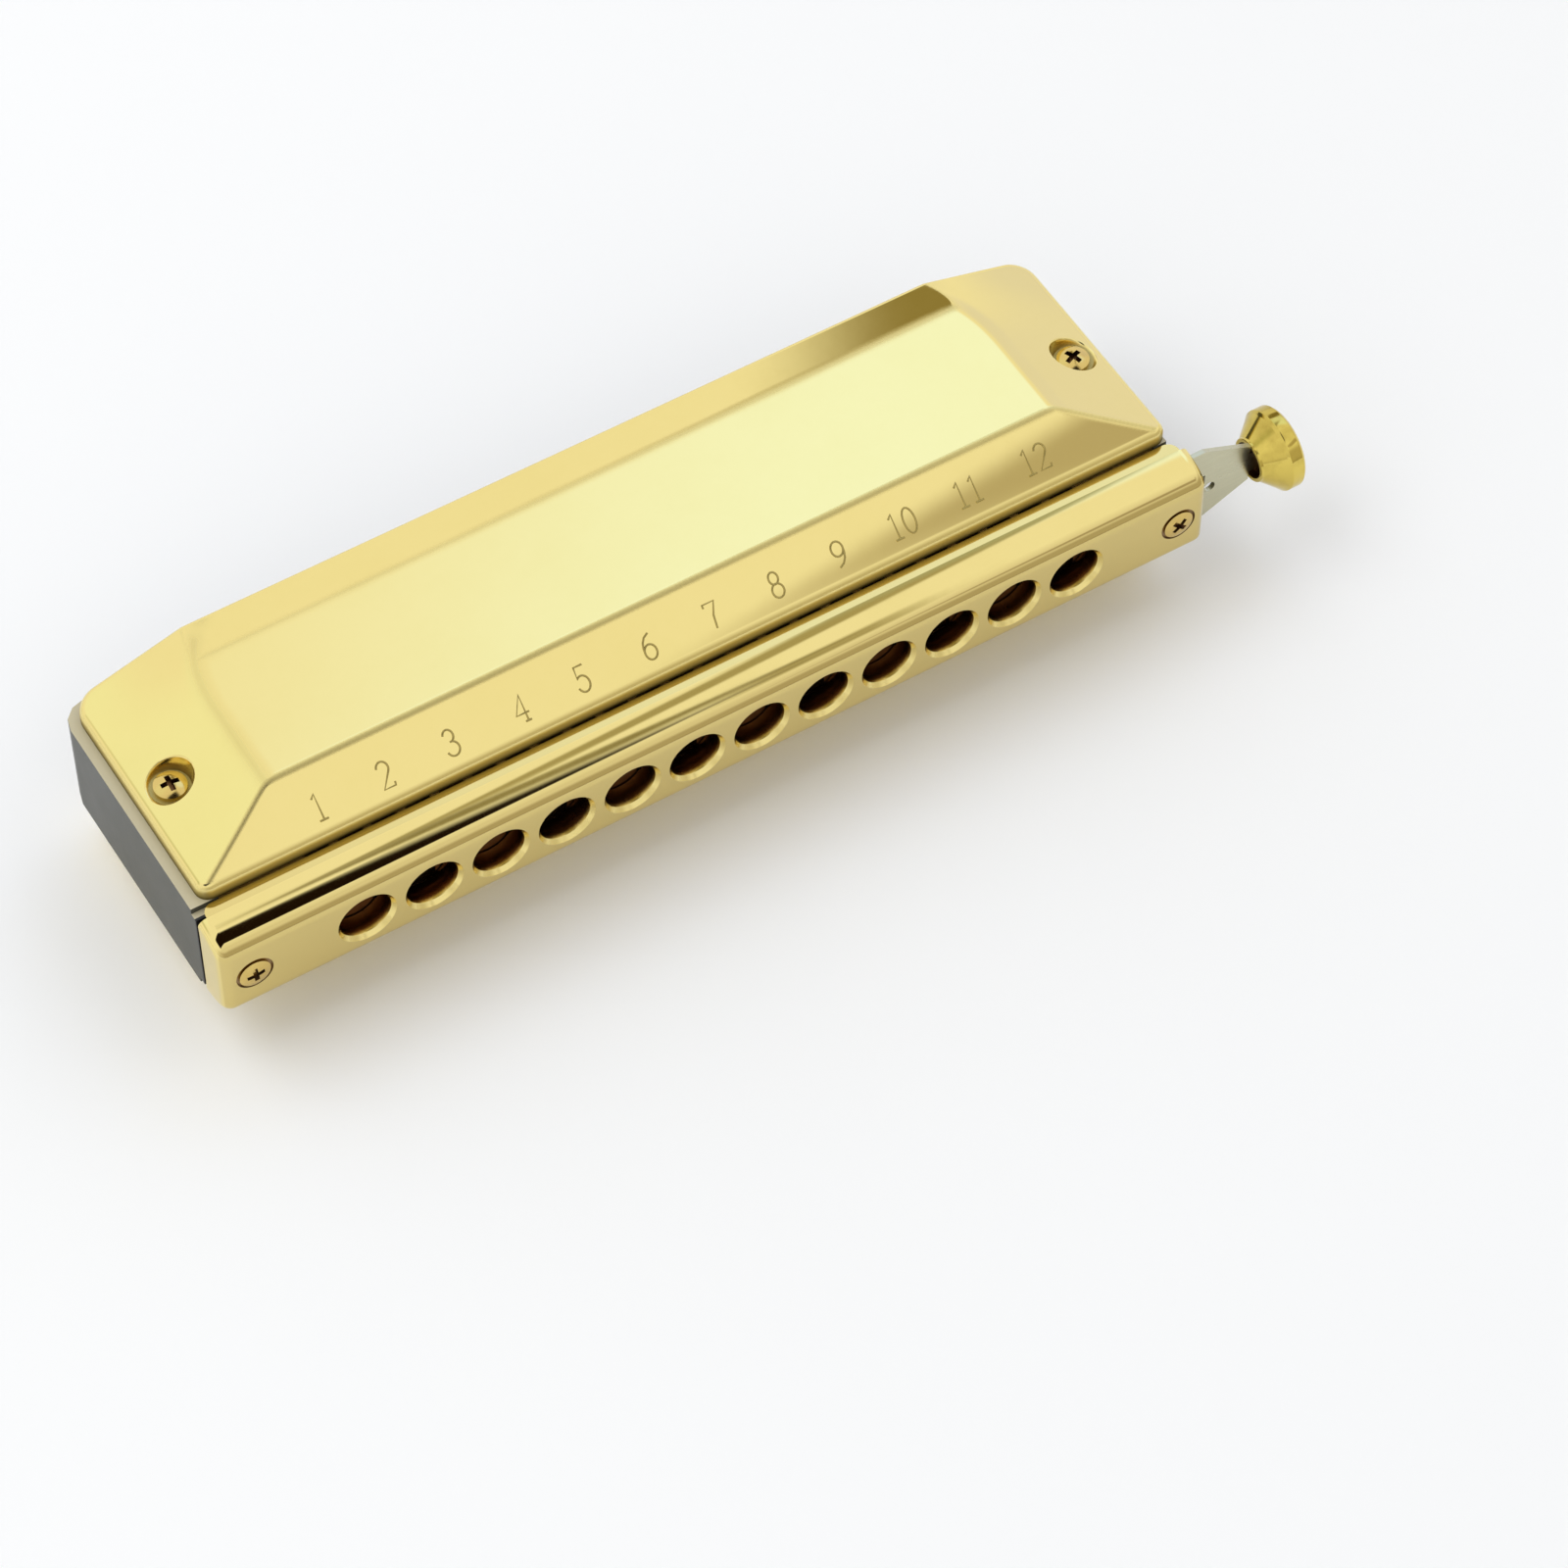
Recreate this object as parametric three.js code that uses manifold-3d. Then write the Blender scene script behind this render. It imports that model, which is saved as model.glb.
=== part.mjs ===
// Chromatic harmonica with twelve holes, in millimetres, +Z up.
// X runs along the row of holes, low notes at -X and the slide button at +X. The player's side is -Y.
// The origin is the middle of the flat panel of the lower cover, on which the instrument rests.
import * as THREE from 'three';
import { mergeVertices } from 'three/addons/utils/BufferGeometryUtils.js';
import Module from 'manifold-3d';

// Mouthpiece, measured back from the face that the lips touch
const hole_count = 12;
const hole_pitch = 9.2;
const hole_diameter = 7.1;
const hole_lip = 0.5;
const mouthpiece_end_length = 15.0;
const mouthpiece_round_height = 2.9;
const mouthpiece_round_depth = 4.6;
const mouthpiece_front_wall = 3.5;
const mouthpiece_edge_wall = 0.9;
const mouthpiece_corner_radius = 1.4;
const mouthpiece_round_steps = 6;
const mouthpiece_lip_setback = 1.2;
const mouthpiece_lip_thickness = 0.8;
const mouthpiece_lip_reach = 1.5;
const seam_gap = 0.6;

// Slide and the plate behind it
const slide_thickness = 0.7;
const slide_play = 0.15;
const slide_travel = 4.6;
const slide_left_margin = 2.8;
const slide_shoulder_stand_out = 1.8;
const slide_shoulder_radius = 1.2;
const slide_neck_height = 6.4;
const slide_tang_height = 3.6;
const slide_tang_length = 3.0;
const window_width = 4.0;
const window_height = 3.6;
const window_web = 1.2;
const back_plate_thickness = 1.4;
const back_plate_setback = 3.2;

// Slide button, turned brass
const button_stand_out = 9.1;
const button_neck_diameter = 6.2;
const button_flare_diameter = 10.8;
const button_flare_length = 2.9;
const button_band_diameter = 11.3;
const button_band_length = 2.3;
const button_edge = 0.5;
const button_recess_rim = 0.6;
const button_recess_depth = 1.2;
const button_sides = 28;

// Comb, with a chamber for every reed
const comb_left_setback = 0.1;
const comb_right_setback = 1.85;
const comb_back_margin = 0.7;
const comb_core_height = 12.8;
const comb_corner_radius = 3.5;
const chamber_width = 3.4;
const chamber_floor_web = 1.6;
const chamber_end_room = 1.4;

// Reed plates and their reeds
const reed_plate_thickness = 1.1;
const reed_plate_end_setback = 3.9;
const reed_plate_front_setback = 1.35;
const reed_plate_back_setback = 2.7;
const reed_slot_width = 2.6;
const reed_slot_front = 3.5;
const reed_slot_longest = 21.5;
const reed_slot_shortest = 11.5;
const reed_side_gap = 0.2;
const reed_thickness = 0.3;
const reed_pad_length = 2.2;
const rivet_diameter = 1.3;
const rivet_height = 0.35;
const rivet_sides = 6;
const rivet_sink_share = 0.5;
const windsaver_width = 3.6;
const windsaver_thickness = 0.2;
const windsaver_glue_length = 1.8;
const windsaver_tip_length = 0.6;

// Stamped covers
const cover_end_setback = 1.6;
const cover_front_setback = 1.2;
const cover_wall = 0.7;
const cover_skirt_height = 1.85;
const cover_rise = 5.5;
const cover_front_bevel_depth = 7.0;
const cover_end_bevel_length = 12.85;
const cover_panel_depth = 20.35;
const cover_back_slope_depth = 6.45;
const cover_rim_drop = 0.9;
const cover_rim_end_distance = 15.6;
const cover_rim_lip = 1.1;
const cover_front_corner_radius = 1.8;
const cover_back_corner_radius = 3.2;
const cover_bend_radius = 1.0;
const cover_crease_radius = 3.0;

// Screws
const cover_screw_end_distance = 4.25;
const cover_screw_front_distance = 15.6;
const cover_seat_diameter = 6.0;
const cover_seat_height = 0.35;
const cover_screw = { head: 4.2, head_height: 1.1, shank: 2.2, length: 8.0, slot: 0.6, sides: 16 };
const mouthpiece_screw_end_distance = 4.3;
const mouthpiece_screw = { head: 4.3, head_height: 0.8, shank: 2.2, length: 9.6, slot: 0.55, sides: 16 };
const plate_screw = { head: 2.8, head_height: 0.6, shank: 1.6, length: 5.0, slot: 0.45, sides: 8 };
const plate_screw_end_distance = 7.3;
const plate_screw_inner_share = 0.34;
const plate_screw_front_edge = 2.8;
const plate_screw_back_edge = 2.0;
const screw_slot_length_share = 0.62;
const screw_slot_depth_share = 0.55;
const screw_crown_share = 0.35;
const screw_clearance = 0.15;

// Return spring of the slide and the rubber sleeve that stops it
const spring_wire = 0.8;
const spring_coil_diameter = 4.0;
const spring_turns = 2;
const spring_turn_pitch = 0.9;
const spring_curl_steps = 8;
const spring_sides = 6;
const spring_hole_diameter = 1.7;
const spring_hole_stand_out = 2.9;
const spring_drop = 1.0;
const spring_coil_end_distance = 5.6;
const spring_coil_depth = 10.4;
const spring_leg_length = 2.0;
const spring_gap = 0.3;
const spring_pocket_height = 3.2;
const spring_pocket_wall = 2.2;
const spring_pocket_front = 4.4;
const spring_notch_width = 2.3;
const bumper_diameter = 3.4;
const bumper_clearance = 0.1;

// Clearance between pieces that slip into each other, and overrun of cuts past a face
const fit_clearance = 0.1;
const overrun = 2.0;
const round_sides = 20;
const corner_steps = 3;

// Places along the instrument, worked out from the row of holes outwards
const row_half = hole_count * hole_pitch / 2;
const mouthpiece_half = row_half + mouthpiece_end_length;
const lip_half = mouthpiece_half - mouthpiece_lip_setback;
const back_plate_half = mouthpiece_half - back_plate_setback;
const slide_left_reach = row_half + slide_left_margin;
const slide_shoulder_reach = mouthpiece_half + slide_shoulder_stand_out;
const button_neck_reach = mouthpiece_half + button_stand_out;
const comb_left_reach = mouthpiece_half - comb_left_setback;
const comb_right_reach = mouthpiece_half - comb_right_setback;
const reed_plate_half = mouthpiece_half - reed_plate_end_setback;
const cover_half = mouthpiece_half - cover_end_setback;
const panel_half = cover_half - cover_end_bevel_length;
const rim_half = cover_half - cover_rim_end_distance;
const cover_screw_reach = cover_half - cover_screw_end_distance;
const mouthpiece_screw_reach = mouthpiece_half - mouthpiece_screw_end_distance;
const plate_screw_reach = reed_plate_half - plate_screw_end_distance;
const spring_hole_reach = mouthpiece_half + spring_hole_stand_out;
const spring_coil_reach = mouthpiece_half - spring_coil_end_distance;

// Heights from the middle plane
const half_height = comb_core_height / 2 + reed_plate_thickness;
const panel_height = half_height + cover_skirt_height + cover_rise;
const cover_seat = half_height + cover_skirt_height + cover_seat_height;
const slide_height = 2 * (half_height - mouthpiece_edge_wall - fit_clearance);

// Depths behind the face of the mouthpiece
const slide_front = mouthpiece_front_wall + slide_play;
const back_plate_front = slide_front + slide_thickness + slide_play;
const comb_front = back_plate_front + back_plate_thickness;
const mouthpiece_depth = comb_front - seam_gap;
const cover_front = comb_front + cover_front_setback;
const panel_front = cover_front + cover_front_bevel_depth;
const panel_back = panel_front + cover_panel_depth;
const cover_back = panel_back + cover_back_slope_depth;
const comb_back = cover_back + comb_back_margin;
const reed_plate_front = comb_front + reed_plate_front_setback;
const reed_plate_back = comb_back - reed_plate_back_setback;
const cover_screw_depth = cover_front + cover_screw_front_distance;
const origin_depth = (panel_front + panel_back) / 2;

const reed_count = 2 * hole_count;
const reed_pitch = hole_pitch / 2;

const wasm = await Module();
wasm.setup();

// Finishes
const finish = (color, roughness, metalness) =>
  new THREE.MeshStandardMaterial({ color, roughness, metalness });
const gold = finish(0xe3cf78, 0.12, 1.0);
const brass = finish(0xc9a24a, 0.25, 1.0);
const reed_brass = finish(0xb98f3d, 0.35, 1.0);
const steel = finish(0xb9b6a5, 0.3, 1.0);
const spring_steel = finish(0x8d9094, 0.35, 1.0);
const grey_plastic = finish(0x787a76, 0.45, 0.0);
const rubber = finish(0x24262a, 0.8, 0.0);
const valve_film = finish(0xd8dad6, 0.5, 0.0);

const part = new THREE.Group();

// A height above the middle plane and a depth behind the mouthpiece's face, as places in the part
const at_depth = (depth) => depth - origin_depth;
const at_height = (height) => panel_height + height;

function to_solid(geometry) {
  geometry.deleteAttribute('normal');
  geometry.deleteAttribute('uv');
  const merged = mergeVertices(geometry);
  return new wasm.Manifold(new wasm.Mesh({
    numProp: 3,
    vertProperties: new Float32Array(merged.attributes.position.array),
    triVerts: new Uint32Array(merged.index.array),
  }));
}

function add_piece(name, solid, material) {
  const { vertProperties, triVerts, numProp } = solid.getMesh();
  const positions = new Float32Array((vertProperties.length / numProp) * 3);
  for (let i = 0; i < positions.length / 3; i += 1) {
    for (let k = 0; k < 3; k += 1) positions[3 * i + k] = vertProperties[numProp * i + k];
  }
  const geometry = new THREE.BufferGeometry();
  geometry.setAttribute('position', new THREE.BufferAttribute(positions, 3));
  geometry.setIndex(new THREE.BufferAttribute(new Uint32Array(triVerts), 1));
  geometry.computeVertexNormals();
  const mesh = new THREE.Mesh(geometry, material);
  mesh.name = name;
  part.add(mesh);
}

// A box between two lengths, two depths and two heights, given in either order
function block(x, depth, height) {
  const size = [x, depth, height].map(([a, b]) => Math.abs(b - a));
  const geometry = new THREE.BoxGeometry(...size);
  geometry.translate(
    (x[0] + x[1]) / 2,
    at_depth((depth[0] + depth[1]) / 2),
    at_height((height[0] + height[1]) / 2),
  );
  return to_solid(geometry);
}

// Directions of an outline's two axes and of the length that it is pushed along
const outline_axes = {
  x: [new THREE.Vector3(0, 1, 0), new THREE.Vector3(0, 0, 1), new THREE.Vector3(1, 0, 0)],
  y: [new THREE.Vector3(1, 0, 0), new THREE.Vector3(0, 0, 1), new THREE.Vector3(0, -1, 0)],
  z: [new THREE.Vector3(1, 0, 0), new THREE.Vector3(0, 1, 0), new THREE.Vector3(0, 0, 1)],
};

// An outline pushed along one axis: points are the other two axes in the order X, depth, height
function prism(axis, points, range) {
  const shape = new THREE.Shape(points.map(([a, b]) => new THREE.Vector2(a, b)));
  const depth = range[1] - range[0];
  const geometry = new THREE.ExtrudeGeometry(shape, { depth, bevelEnabled: false });
  geometry.applyMatrix4(new THREE.Matrix4().makeBasis(...outline_axes[axis]));
  const start = {
    x: [range[0], at_depth(0), at_height(0)],
    y: [0, at_depth(range[1]), at_height(0)],
    z: [0, at_depth(0), at_height(range[0])],
  };
  geometry.translate(...start[axis]);
  return to_solid(geometry);
}

// A turned solid: the profile is pairs of radius and distance along the axis, from axis to axis
function turned(profile, sides) {
  return new THREE.LatheGeometry(profile.map(([r, d]) => new THREE.Vector2(r, d)), sides);
}

function disc_profile(radius, from, to) {
  return [[0, from], [radius, from], [radius, to], [0, to]];
}

// Turned about X, pointing to +X; about the depth, pointing back; and about Z, pointing up or down
function along_x(profile, sides, depth, height) {
  const geometry = turned(profile, sides);
  geometry.rotateZ(-Math.PI / 2);
  geometry.translate(0, at_depth(depth), at_height(height));
  return to_solid(geometry);
}

function along_depth(profile, sides, x, height) {
  const geometry = turned(profile, sides);
  geometry.translate(x, at_depth(0), at_height(height));
  return to_solid(geometry);
}

function upright(profile, sides, x, depth, side) {
  const geometry = turned(profile, sides);
  geometry.rotateX(side * Math.PI / 2);
  geometry.translate(x, at_depth(depth), at_height(0));
  return to_solid(geometry);
}

function join(pieces) {
  return pieces.reduce((whole, piece) => whole.add(piece));
}

function cut(body, tools) {
  return tools.reduce((left, tool) => left.subtract(tool), body);
}

// A convex outline with every edge moved inwards
function inset_outline(points, inset) {
  const area = points.reduce((sum, [x, y], i) => {
    const [u, v] = points[(i + 1) % points.length];
    return sum + x * v - u * y;
  }, 0);
  const turn = Math.sign(area);
  const edges = points.map(([x, y], i) => {
    const [u, v] = points[(i + 1) % points.length];
    const length = Math.hypot(u - x, v - y);
    const normal = [-turn * (v - y) / length, turn * (u - x) / length];
    return { normal, reach: normal[0] * x + normal[1] * y + inset };
  });
  return edges.map((edge, i) => {
    const before = edges[(i + edges.length - 1) % edges.length];
    const det = before.normal[0] * edge.normal[1] - before.normal[1] * edge.normal[0];
    return [
      (before.reach * edge.normal[1] - edge.reach * before.normal[1]) / det,
      (before.normal[0] * edge.reach - edge.normal[0] * before.reach) / det,
    ];
  });
}

// The same outline with an arc in place of each corner that has a radius
function round_outline(points, radii, steps) {
  return points.flatMap(([x, y], i) => {
    const radius = radii[i];
    if (radius <= 0) return [[x, y]];
    const here = new THREE.Vector2(x, y);
    const previous = points[(i + points.length - 1) % points.length];
    const next = points[(i + 1) % points.length];
    const before = new THREE.Vector2(...previous).sub(here).normalize();
    const after = new THREE.Vector2(...next).sub(here).normalize();
    const half = Math.acos(before.dot(after)) / 2;
    const inwards = before.clone().add(after).normalize();
    const middle = inwards.multiplyScalar(radius / Math.sin(half)).add(here);
    const start = before.multiplyScalar(radius / Math.tan(half)).add(here).sub(middle);
    const end = after.multiplyScalar(radius / Math.tan(half)).add(here).sub(middle);
    const turn = Math.sign(start.cross(end)) * (Math.PI - 2 * half);
    return Array.from({ length: steps + 1 }, (_, k) => {
      const spoke = start.clone().rotateAround(new THREE.Vector2(), turn * k / steps);
      return [middle.x + spoke.x, middle.y + spoke.y];
    });
  });
}

function rectangle(x, y) {
  return [[x[0], y[0]], [x[1], y[0]], [x[1], y[1]], [x[0], y[1]]];
}

// Places along the row of holes and along the row of reeds
const hole_x = (hole) => (hole - (hole_count - 1) / 2) * hole_pitch;
const reed_x = (reed) => (reed - (reed_count - 1) / 2) * reed_pitch;
const slot_length = (reed) =>
  reed_slot_longest + (reed_slot_shortest - reed_slot_longest) * reed / (reed_count - 1);
const ends = [-1, 1];

// Screw with a crowned head and a cross slot, seated at 0 with its shank along the axis
function screw_profile(size) {
  const head = size.head / 2;
  const crown = size.head_height * screw_crown_share;
  return [
    [0, -size.head_height],
    [head - crown, -size.head_height],
    [head, crown - size.head_height],
    [head, 0],
    [size.shank / 2, 0],
    [size.shank / 2, size.length - size.shank / 2],
    [0, size.length],
  ];
}

function cross_slot(size) {
  const reach = size.head * screw_slot_length_share / 2;
  const floor = size.head_height * (screw_slot_depth_share - 1);
  return { reach, floor, half: size.slot / 2, top: -size.head_height - overrun };
}

function screw_in_depth(size, x, seat) {
  const profile = screw_profile(size).map(([r, d]) => [r, d + seat]);
  const { reach, floor, half, top } = cross_slot(size);
  const range = [seat + top, seat + floor];
  return cut(along_depth(profile, size.sides, x, 0), [
    block([x - reach, x + reach], range, [-half, half]),
    block([x - half, x + half], range, [-reach, reach]),
  ]);
}

function screw_in_height(size, x, depth, seat, side) {
  const profile = screw_profile(size).map(([r, d]) => [r, d - seat]).reverse();
  const flipped = profile.map(([r, d]) => [r, -d]);
  const { reach, floor, half, top } = cross_slot(size);
  const range = [side * (seat - top), side * (seat - floor)];
  return cut(upright(flipped, size.sides, x, depth, side), [
    block([x - reach, x + reach], [depth - half, depth + half], range),
    block([x - half, x + half], [depth - reach, depth + reach], range),
  ]);
}

// Mouthpiece

function mouthpiece_outline() {
  const flat = half_height - mouthpiece_round_height;
  const upper = Array.from({ length: mouthpiece_round_steps + 1 }, (_, k) => {
    const angle = Math.PI / 2 * k / mouthpiece_round_steps;
    return [
      mouthpiece_round_depth * (1 - Math.sin(angle)),
      flat + mouthpiece_round_height * Math.cos(angle),
    ];
  });
  const lower = upper.map(([depth, height]) => [depth, -height]).reverse();
  return [[mouthpiece_depth, half_height], ...upper, ...lower, [mouthpiece_depth, -half_height]];
}

function mouthpiece() {
  const plan = round_outline(
    rectangle([-mouthpiece_half, mouthpiece_half], [0, mouthpiece_depth]),
    [mouthpiece_corner_radius, mouthpiece_corner_radius, 0, 0],
    corner_steps,
  );
  const body = prism('x', mouthpiece_outline(), [-mouthpiece_half, mouthpiece_half])
    .intersect(prism('z', plan, [-half_height - overrun, half_height + overrun]));
  const lips = ends.map((side) => block(
    [-lip_half, lip_half],
    [mouthpiece_depth - mouthpiece_edge_wall, mouthpiece_depth + mouthpiece_lip_reach],
    [side * half_height, side * (half_height - mouthpiece_lip_thickness)],
  ));
  const radius = hole_diameter / 2;
  const bore = [
    [0, -overrun],
    [radius + hole_lip + overrun, -overrun],
    [radius, hole_lip],
    [radius, mouthpiece_front_wall + overrun],
    [0, mouthpiece_front_wall + overrun],
  ];
  const bores = Array.from({ length: hole_count }, (_, hole) =>
    along_depth(bore, round_sides, hole_x(hole), 0));
  const pocket_half = slide_height / 2 + fit_clearance;
  const pocket = block(
    [-back_plate_half - fit_clearance, mouthpiece_half + overrun],
    [mouthpiece_front_wall, mouthpiece_depth + overrun],
    [-pocket_half, pocket_half],
  );
  const screw_hole = disc_profile(
    mouthpiece_screw.shank / 2 + screw_clearance, -overrun, mouthpiece_depth,
  );
  const screw_holes = ends.map((end) =>
    along_depth(screw_hole, round_sides, end * mouthpiece_screw_reach, 0));
  return cut(body.subtract(pocket).add(join(lips)), [...bores, ...screw_holes]);
}

// Slide and the plate behind it

// Windows of the slide: each opens one hole at rest and its neighbour when the slide is pushed in
function slide_windows() {
  const half = window_width / 2;
  const range = [slide_front - overrun, back_plate_front + overrun];
  return ends.flatMap((row) => {
    const height = [row * window_web / 2, row * (window_web / 2 + window_height)];
    const first = row > 0 ? 0 : 1;
    const windows = [];
    for (let hole = first; hole <= hole_count; hole += 2) {
      const pushed = hole_x(hole - 1) + slide_travel;
      const left = hole > 0 ? pushed - half : hole_x(hole) - half;
      const right = hole < hole_count ? hole_x(hole) + half : pushed + half;
      windows.push(block([left, right], range, height));
    }
    return windows;
  });
}

function slide() {
  const half = slide_height / 2;
  const neck = slide_neck_height / 2;
  const tang = slide_tang_height / 2;
  const tip = button_neck_reach + slide_tang_length;
  const outline = [
    [-slide_left_reach, -half],
    [slide_shoulder_reach, -half],
    [button_neck_reach - fit_clearance, -neck],
    [button_neck_reach - fit_clearance, -tang],
    [tip, -tang],
    [tip, tang],
    [button_neck_reach - fit_clearance, tang],
    [button_neck_reach - fit_clearance, neck],
    [slide_shoulder_reach, half],
    [-slide_left_reach, half],
  ];
  const radii = outline.map(([, height]) => (Math.abs(height) < half ? 0 : slide_shoulder_radius));
  const rounded = round_outline(outline, radii, corner_steps);
  const body = prism('y', rounded, [slide_front, slide_front + slide_thickness]);
  const reach = bumper_diameter / 2 + bumper_clearance;
  const through = [slide_front - overrun, slide_front + slide_thickness + overrun];
  const slot_end = mouthpiece_screw_reach + slide_travel + reach;
  const stop_slot = block([mouthpiece_screw_reach - reach, slot_end], through, [-reach, reach]);
  const spring_hole = along_depth(
    disc_profile(spring_hole_diameter / 2, slide_front - overrun, back_plate_front + overrun),
    round_sides, spring_hole_reach, -spring_drop,
  );
  return cut(body, [...slide_windows(), stop_slot, spring_hole]);
}

function slide_back_plate() {
  const edge = slide_height / 2;
  const range = [back_plate_front, comb_front];
  const through = [back_plate_front - overrun, comb_front + overrun];
  const windows = ends.flatMap((row) => Array.from({ length: hole_count }, (_, i) => block(
    [hole_x(i) - window_width / 2, hole_x(i) + window_width / 2],
    through,
    [row * window_web / 2, row * (window_web / 2 + window_height)],
  )));
  const screw_hole = disc_profile(mouthpiece_screw.shank / 2 + screw_clearance, ...through);
  const screw_holes = ends.map((end) =>
    along_depth(screw_hole, round_sides, end * mouthpiece_screw_reach, 0));
  const body = block([-back_plate_half, back_plate_half], range, [-edge, edge]);
  return cut(body, [...windows, ...screw_holes]);
}

function slide_button() {
  const neck = button_neck_diameter / 2;
  const flare = button_flare_diameter / 2;
  const band = button_band_diameter / 2;
  const flare_end = button_neck_reach + button_flare_length;
  const end = flare_end + button_band_length;
  const body = along_x([
    [0, button_neck_reach + button_recess_depth],
    [neck - button_recess_rim, button_neck_reach + button_recess_depth],
    [neck - button_recess_rim, button_neck_reach],
    [neck, button_neck_reach],
    [flare, flare_end - button_edge],
    [band, flare_end],
    [band, end - button_edge],
    [band - button_edge, end],
    [0, end],
  ], button_sides, slide_front + slide_thickness / 2, 0);
  const tang = slide_tang_height / 2 + fit_clearance;
  const socket = block(
    [button_neck_reach - overrun, button_neck_reach + slide_tang_length + fit_clearance],
    [slide_front - fit_clearance, slide_front + slide_thickness + fit_clearance],
    [-tang, tang],
  );
  return body.subtract(socket);
}

function slide_bumper() {
  const inner = mouthpiece_screw.shank / 2 + fit_clearance;
  const outer = bumper_diameter / 2;
  const front = mouthpiece_front_wall + fit_clearance;
  const back = back_plate_front - fit_clearance;
  const ring = [[inner, front], [outer, front], [outer, back], [inner, back], [inner, front]];
  return along_depth(ring, round_sides, mouthpiece_screw_reach, 0);
}

// Wound wire: one leg braced in the comb, two turns, and an arm that reaches the hole in the slide
function slide_spring() {
  const radius = spring_coil_diameter / 2;
  const centre = new THREE.Vector2(spring_coil_reach, comb_front + spring_coil_depth);
  const tip = new THREE.Vector2(spring_hole_reach, slide_front + slide_thickness + spring_gap);
  const to_tip = tip.clone().sub(centre);
  const arm = Math.sqrt(to_tip.lengthSq() - radius * radius);
  const leave = to_tip.angle() + Math.atan2(arm, radius);
  const half_rise = spring_turns * spring_turn_pitch / 2;
  const steps = spring_turns * spring_curl_steps;
  const at = (x, depth, height) => new THREE.Vector3(x, at_depth(depth), at_height(height));
  const coil = Array.from({ length: steps + 1 }, (_, k) => {
    const angle = leave - 2 * Math.PI * spring_turns * (1 - k / steps);
    const height = half_rise - 2 * half_rise * k / steps - spring_drop;
    return at(centre.x + radius * Math.cos(angle), centre.y + radius * Math.sin(angle), height);
  });
  const tangent = new THREE.Vector2(-Math.sin(leave), Math.cos(leave));
  const start = coil[0];
  const leg = at(
    start.x - tangent.x * spring_leg_length,
    start.y + origin_depth - tangent.y * spring_leg_length,
    half_rise - spring_drop,
  );
  const path = new THREE.CatmullRomCurve3(
    [leg, ...coil, at(tip.x, tip.y + spring_wire, -spring_drop), at(tip.x, tip.y, -spring_drop)],
    false, 'centripetal',
  );
  const section = new THREE.Shape(Array.from({ length: spring_sides }, (_, k) => {
    const angle = 2 * Math.PI * k / spring_sides;
    return new THREE.Vector2(spring_wire / 2 * Math.cos(angle), spring_wire / 2 * Math.sin(angle));
  }));
  return to_solid(new THREE.ExtrudeGeometry(section, {
    extrudePath: path, steps: 2 * steps, bevelEnabled: false,
  }));
}

// Comb

function chamber(reed, side) {
  const back = reed_plate_front + reed_slot_front + slot_length(reed) + chamber_end_room;
  return block(
    [reed_x(reed) - chamber_width / 2, reed_x(reed) + chamber_width / 2],
    [comb_front - overrun, back],
    [side * chamber_floor_web / 2, side * (comb_core_height / 2 + overrun)],
  );
}

function comb() {
  const plan = round_outline(
    rectangle([-comb_left_reach, comb_right_reach], [comb_front, comb_back]),
    [0, 0, comb_corner_radius, comb_corner_radius],
    corner_steps,
  );
  const body = prism('z', plan, [-half_height, half_height]);
  const bed = reed_plate_half + fit_clearance;
  const beds = ends.map((side) => block(
    [-bed, bed],
    [comb_front - overrun, comb_back + overrun],
    [side * comb_core_height / 2, side * (half_height + overrun)],
  ));
  const chambers = ends.flatMap((side) =>
    Array.from({ length: reed_count }, (_, reed) => chamber(reed, side)));
  const rebate_floor = half_height - mouthpiece_lip_thickness - fit_clearance;
  const rebates = ends.map((side) => block(
    [-comb_left_reach - overrun, comb_right_reach + overrun],
    [comb_front - overrun, cover_front],
    [side * rebate_floor, side * (half_height + overrun)],
  ));
  const through = [-half_height - overrun, half_height + overrun];
  const cover_hole = disc_profile(cover_screw.shank / 2 + screw_clearance, ...through);
  const cover_holes = ends.map((end) =>
    upright(cover_hole, round_sides, end * cover_screw_reach, cover_screw_depth, 1));
  const front_hole = disc_profile(
    mouthpiece_screw.shank / 2 + screw_clearance,
    comb_front - overrun,
    mouthpiece_screw.length + fit_clearance,
  );
  const front_holes = ends.map((end) =>
    along_depth(front_hole, round_sides, end * mouthpiece_screw_reach, 0));
  const plate_hole = disc_profile(plate_screw.shank / 2 + screw_clearance, ...through);
  const plate_holes = plate_screw_places().map(([x, depth]) =>
    upright(plate_hole, plate_screw.sides, x, depth, 1));
  const pocket_half = spring_pocket_height / 2;
  const pocket_back = comb_front + spring_coil_depth + spring_coil_diameter / 2 + spring_wire;
  const pocket_left = spring_coil_reach - spring_coil_diameter / 2 - spring_wire;
  const pocket = block(
    [pocket_left, comb_right_reach + overrun],
    [comb_front + spring_pocket_front, pocket_back],
    [-spring_drop - pocket_half, pocket_half - spring_drop],
  );
  const notch = block(
    [comb_right_reach - spring_notch_width, comb_right_reach + overrun],
    [comb_front - overrun, comb_front + spring_pocket_front + overrun],
    [-spring_drop - pocket_half, pocket_half - spring_drop],
  );
  const holes = [...cover_holes, ...front_holes, ...plate_holes];
  return cut(body, [...beds, ...rebates, ...chambers, ...holes, pocket, notch]);
}

// Reed plates

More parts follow.
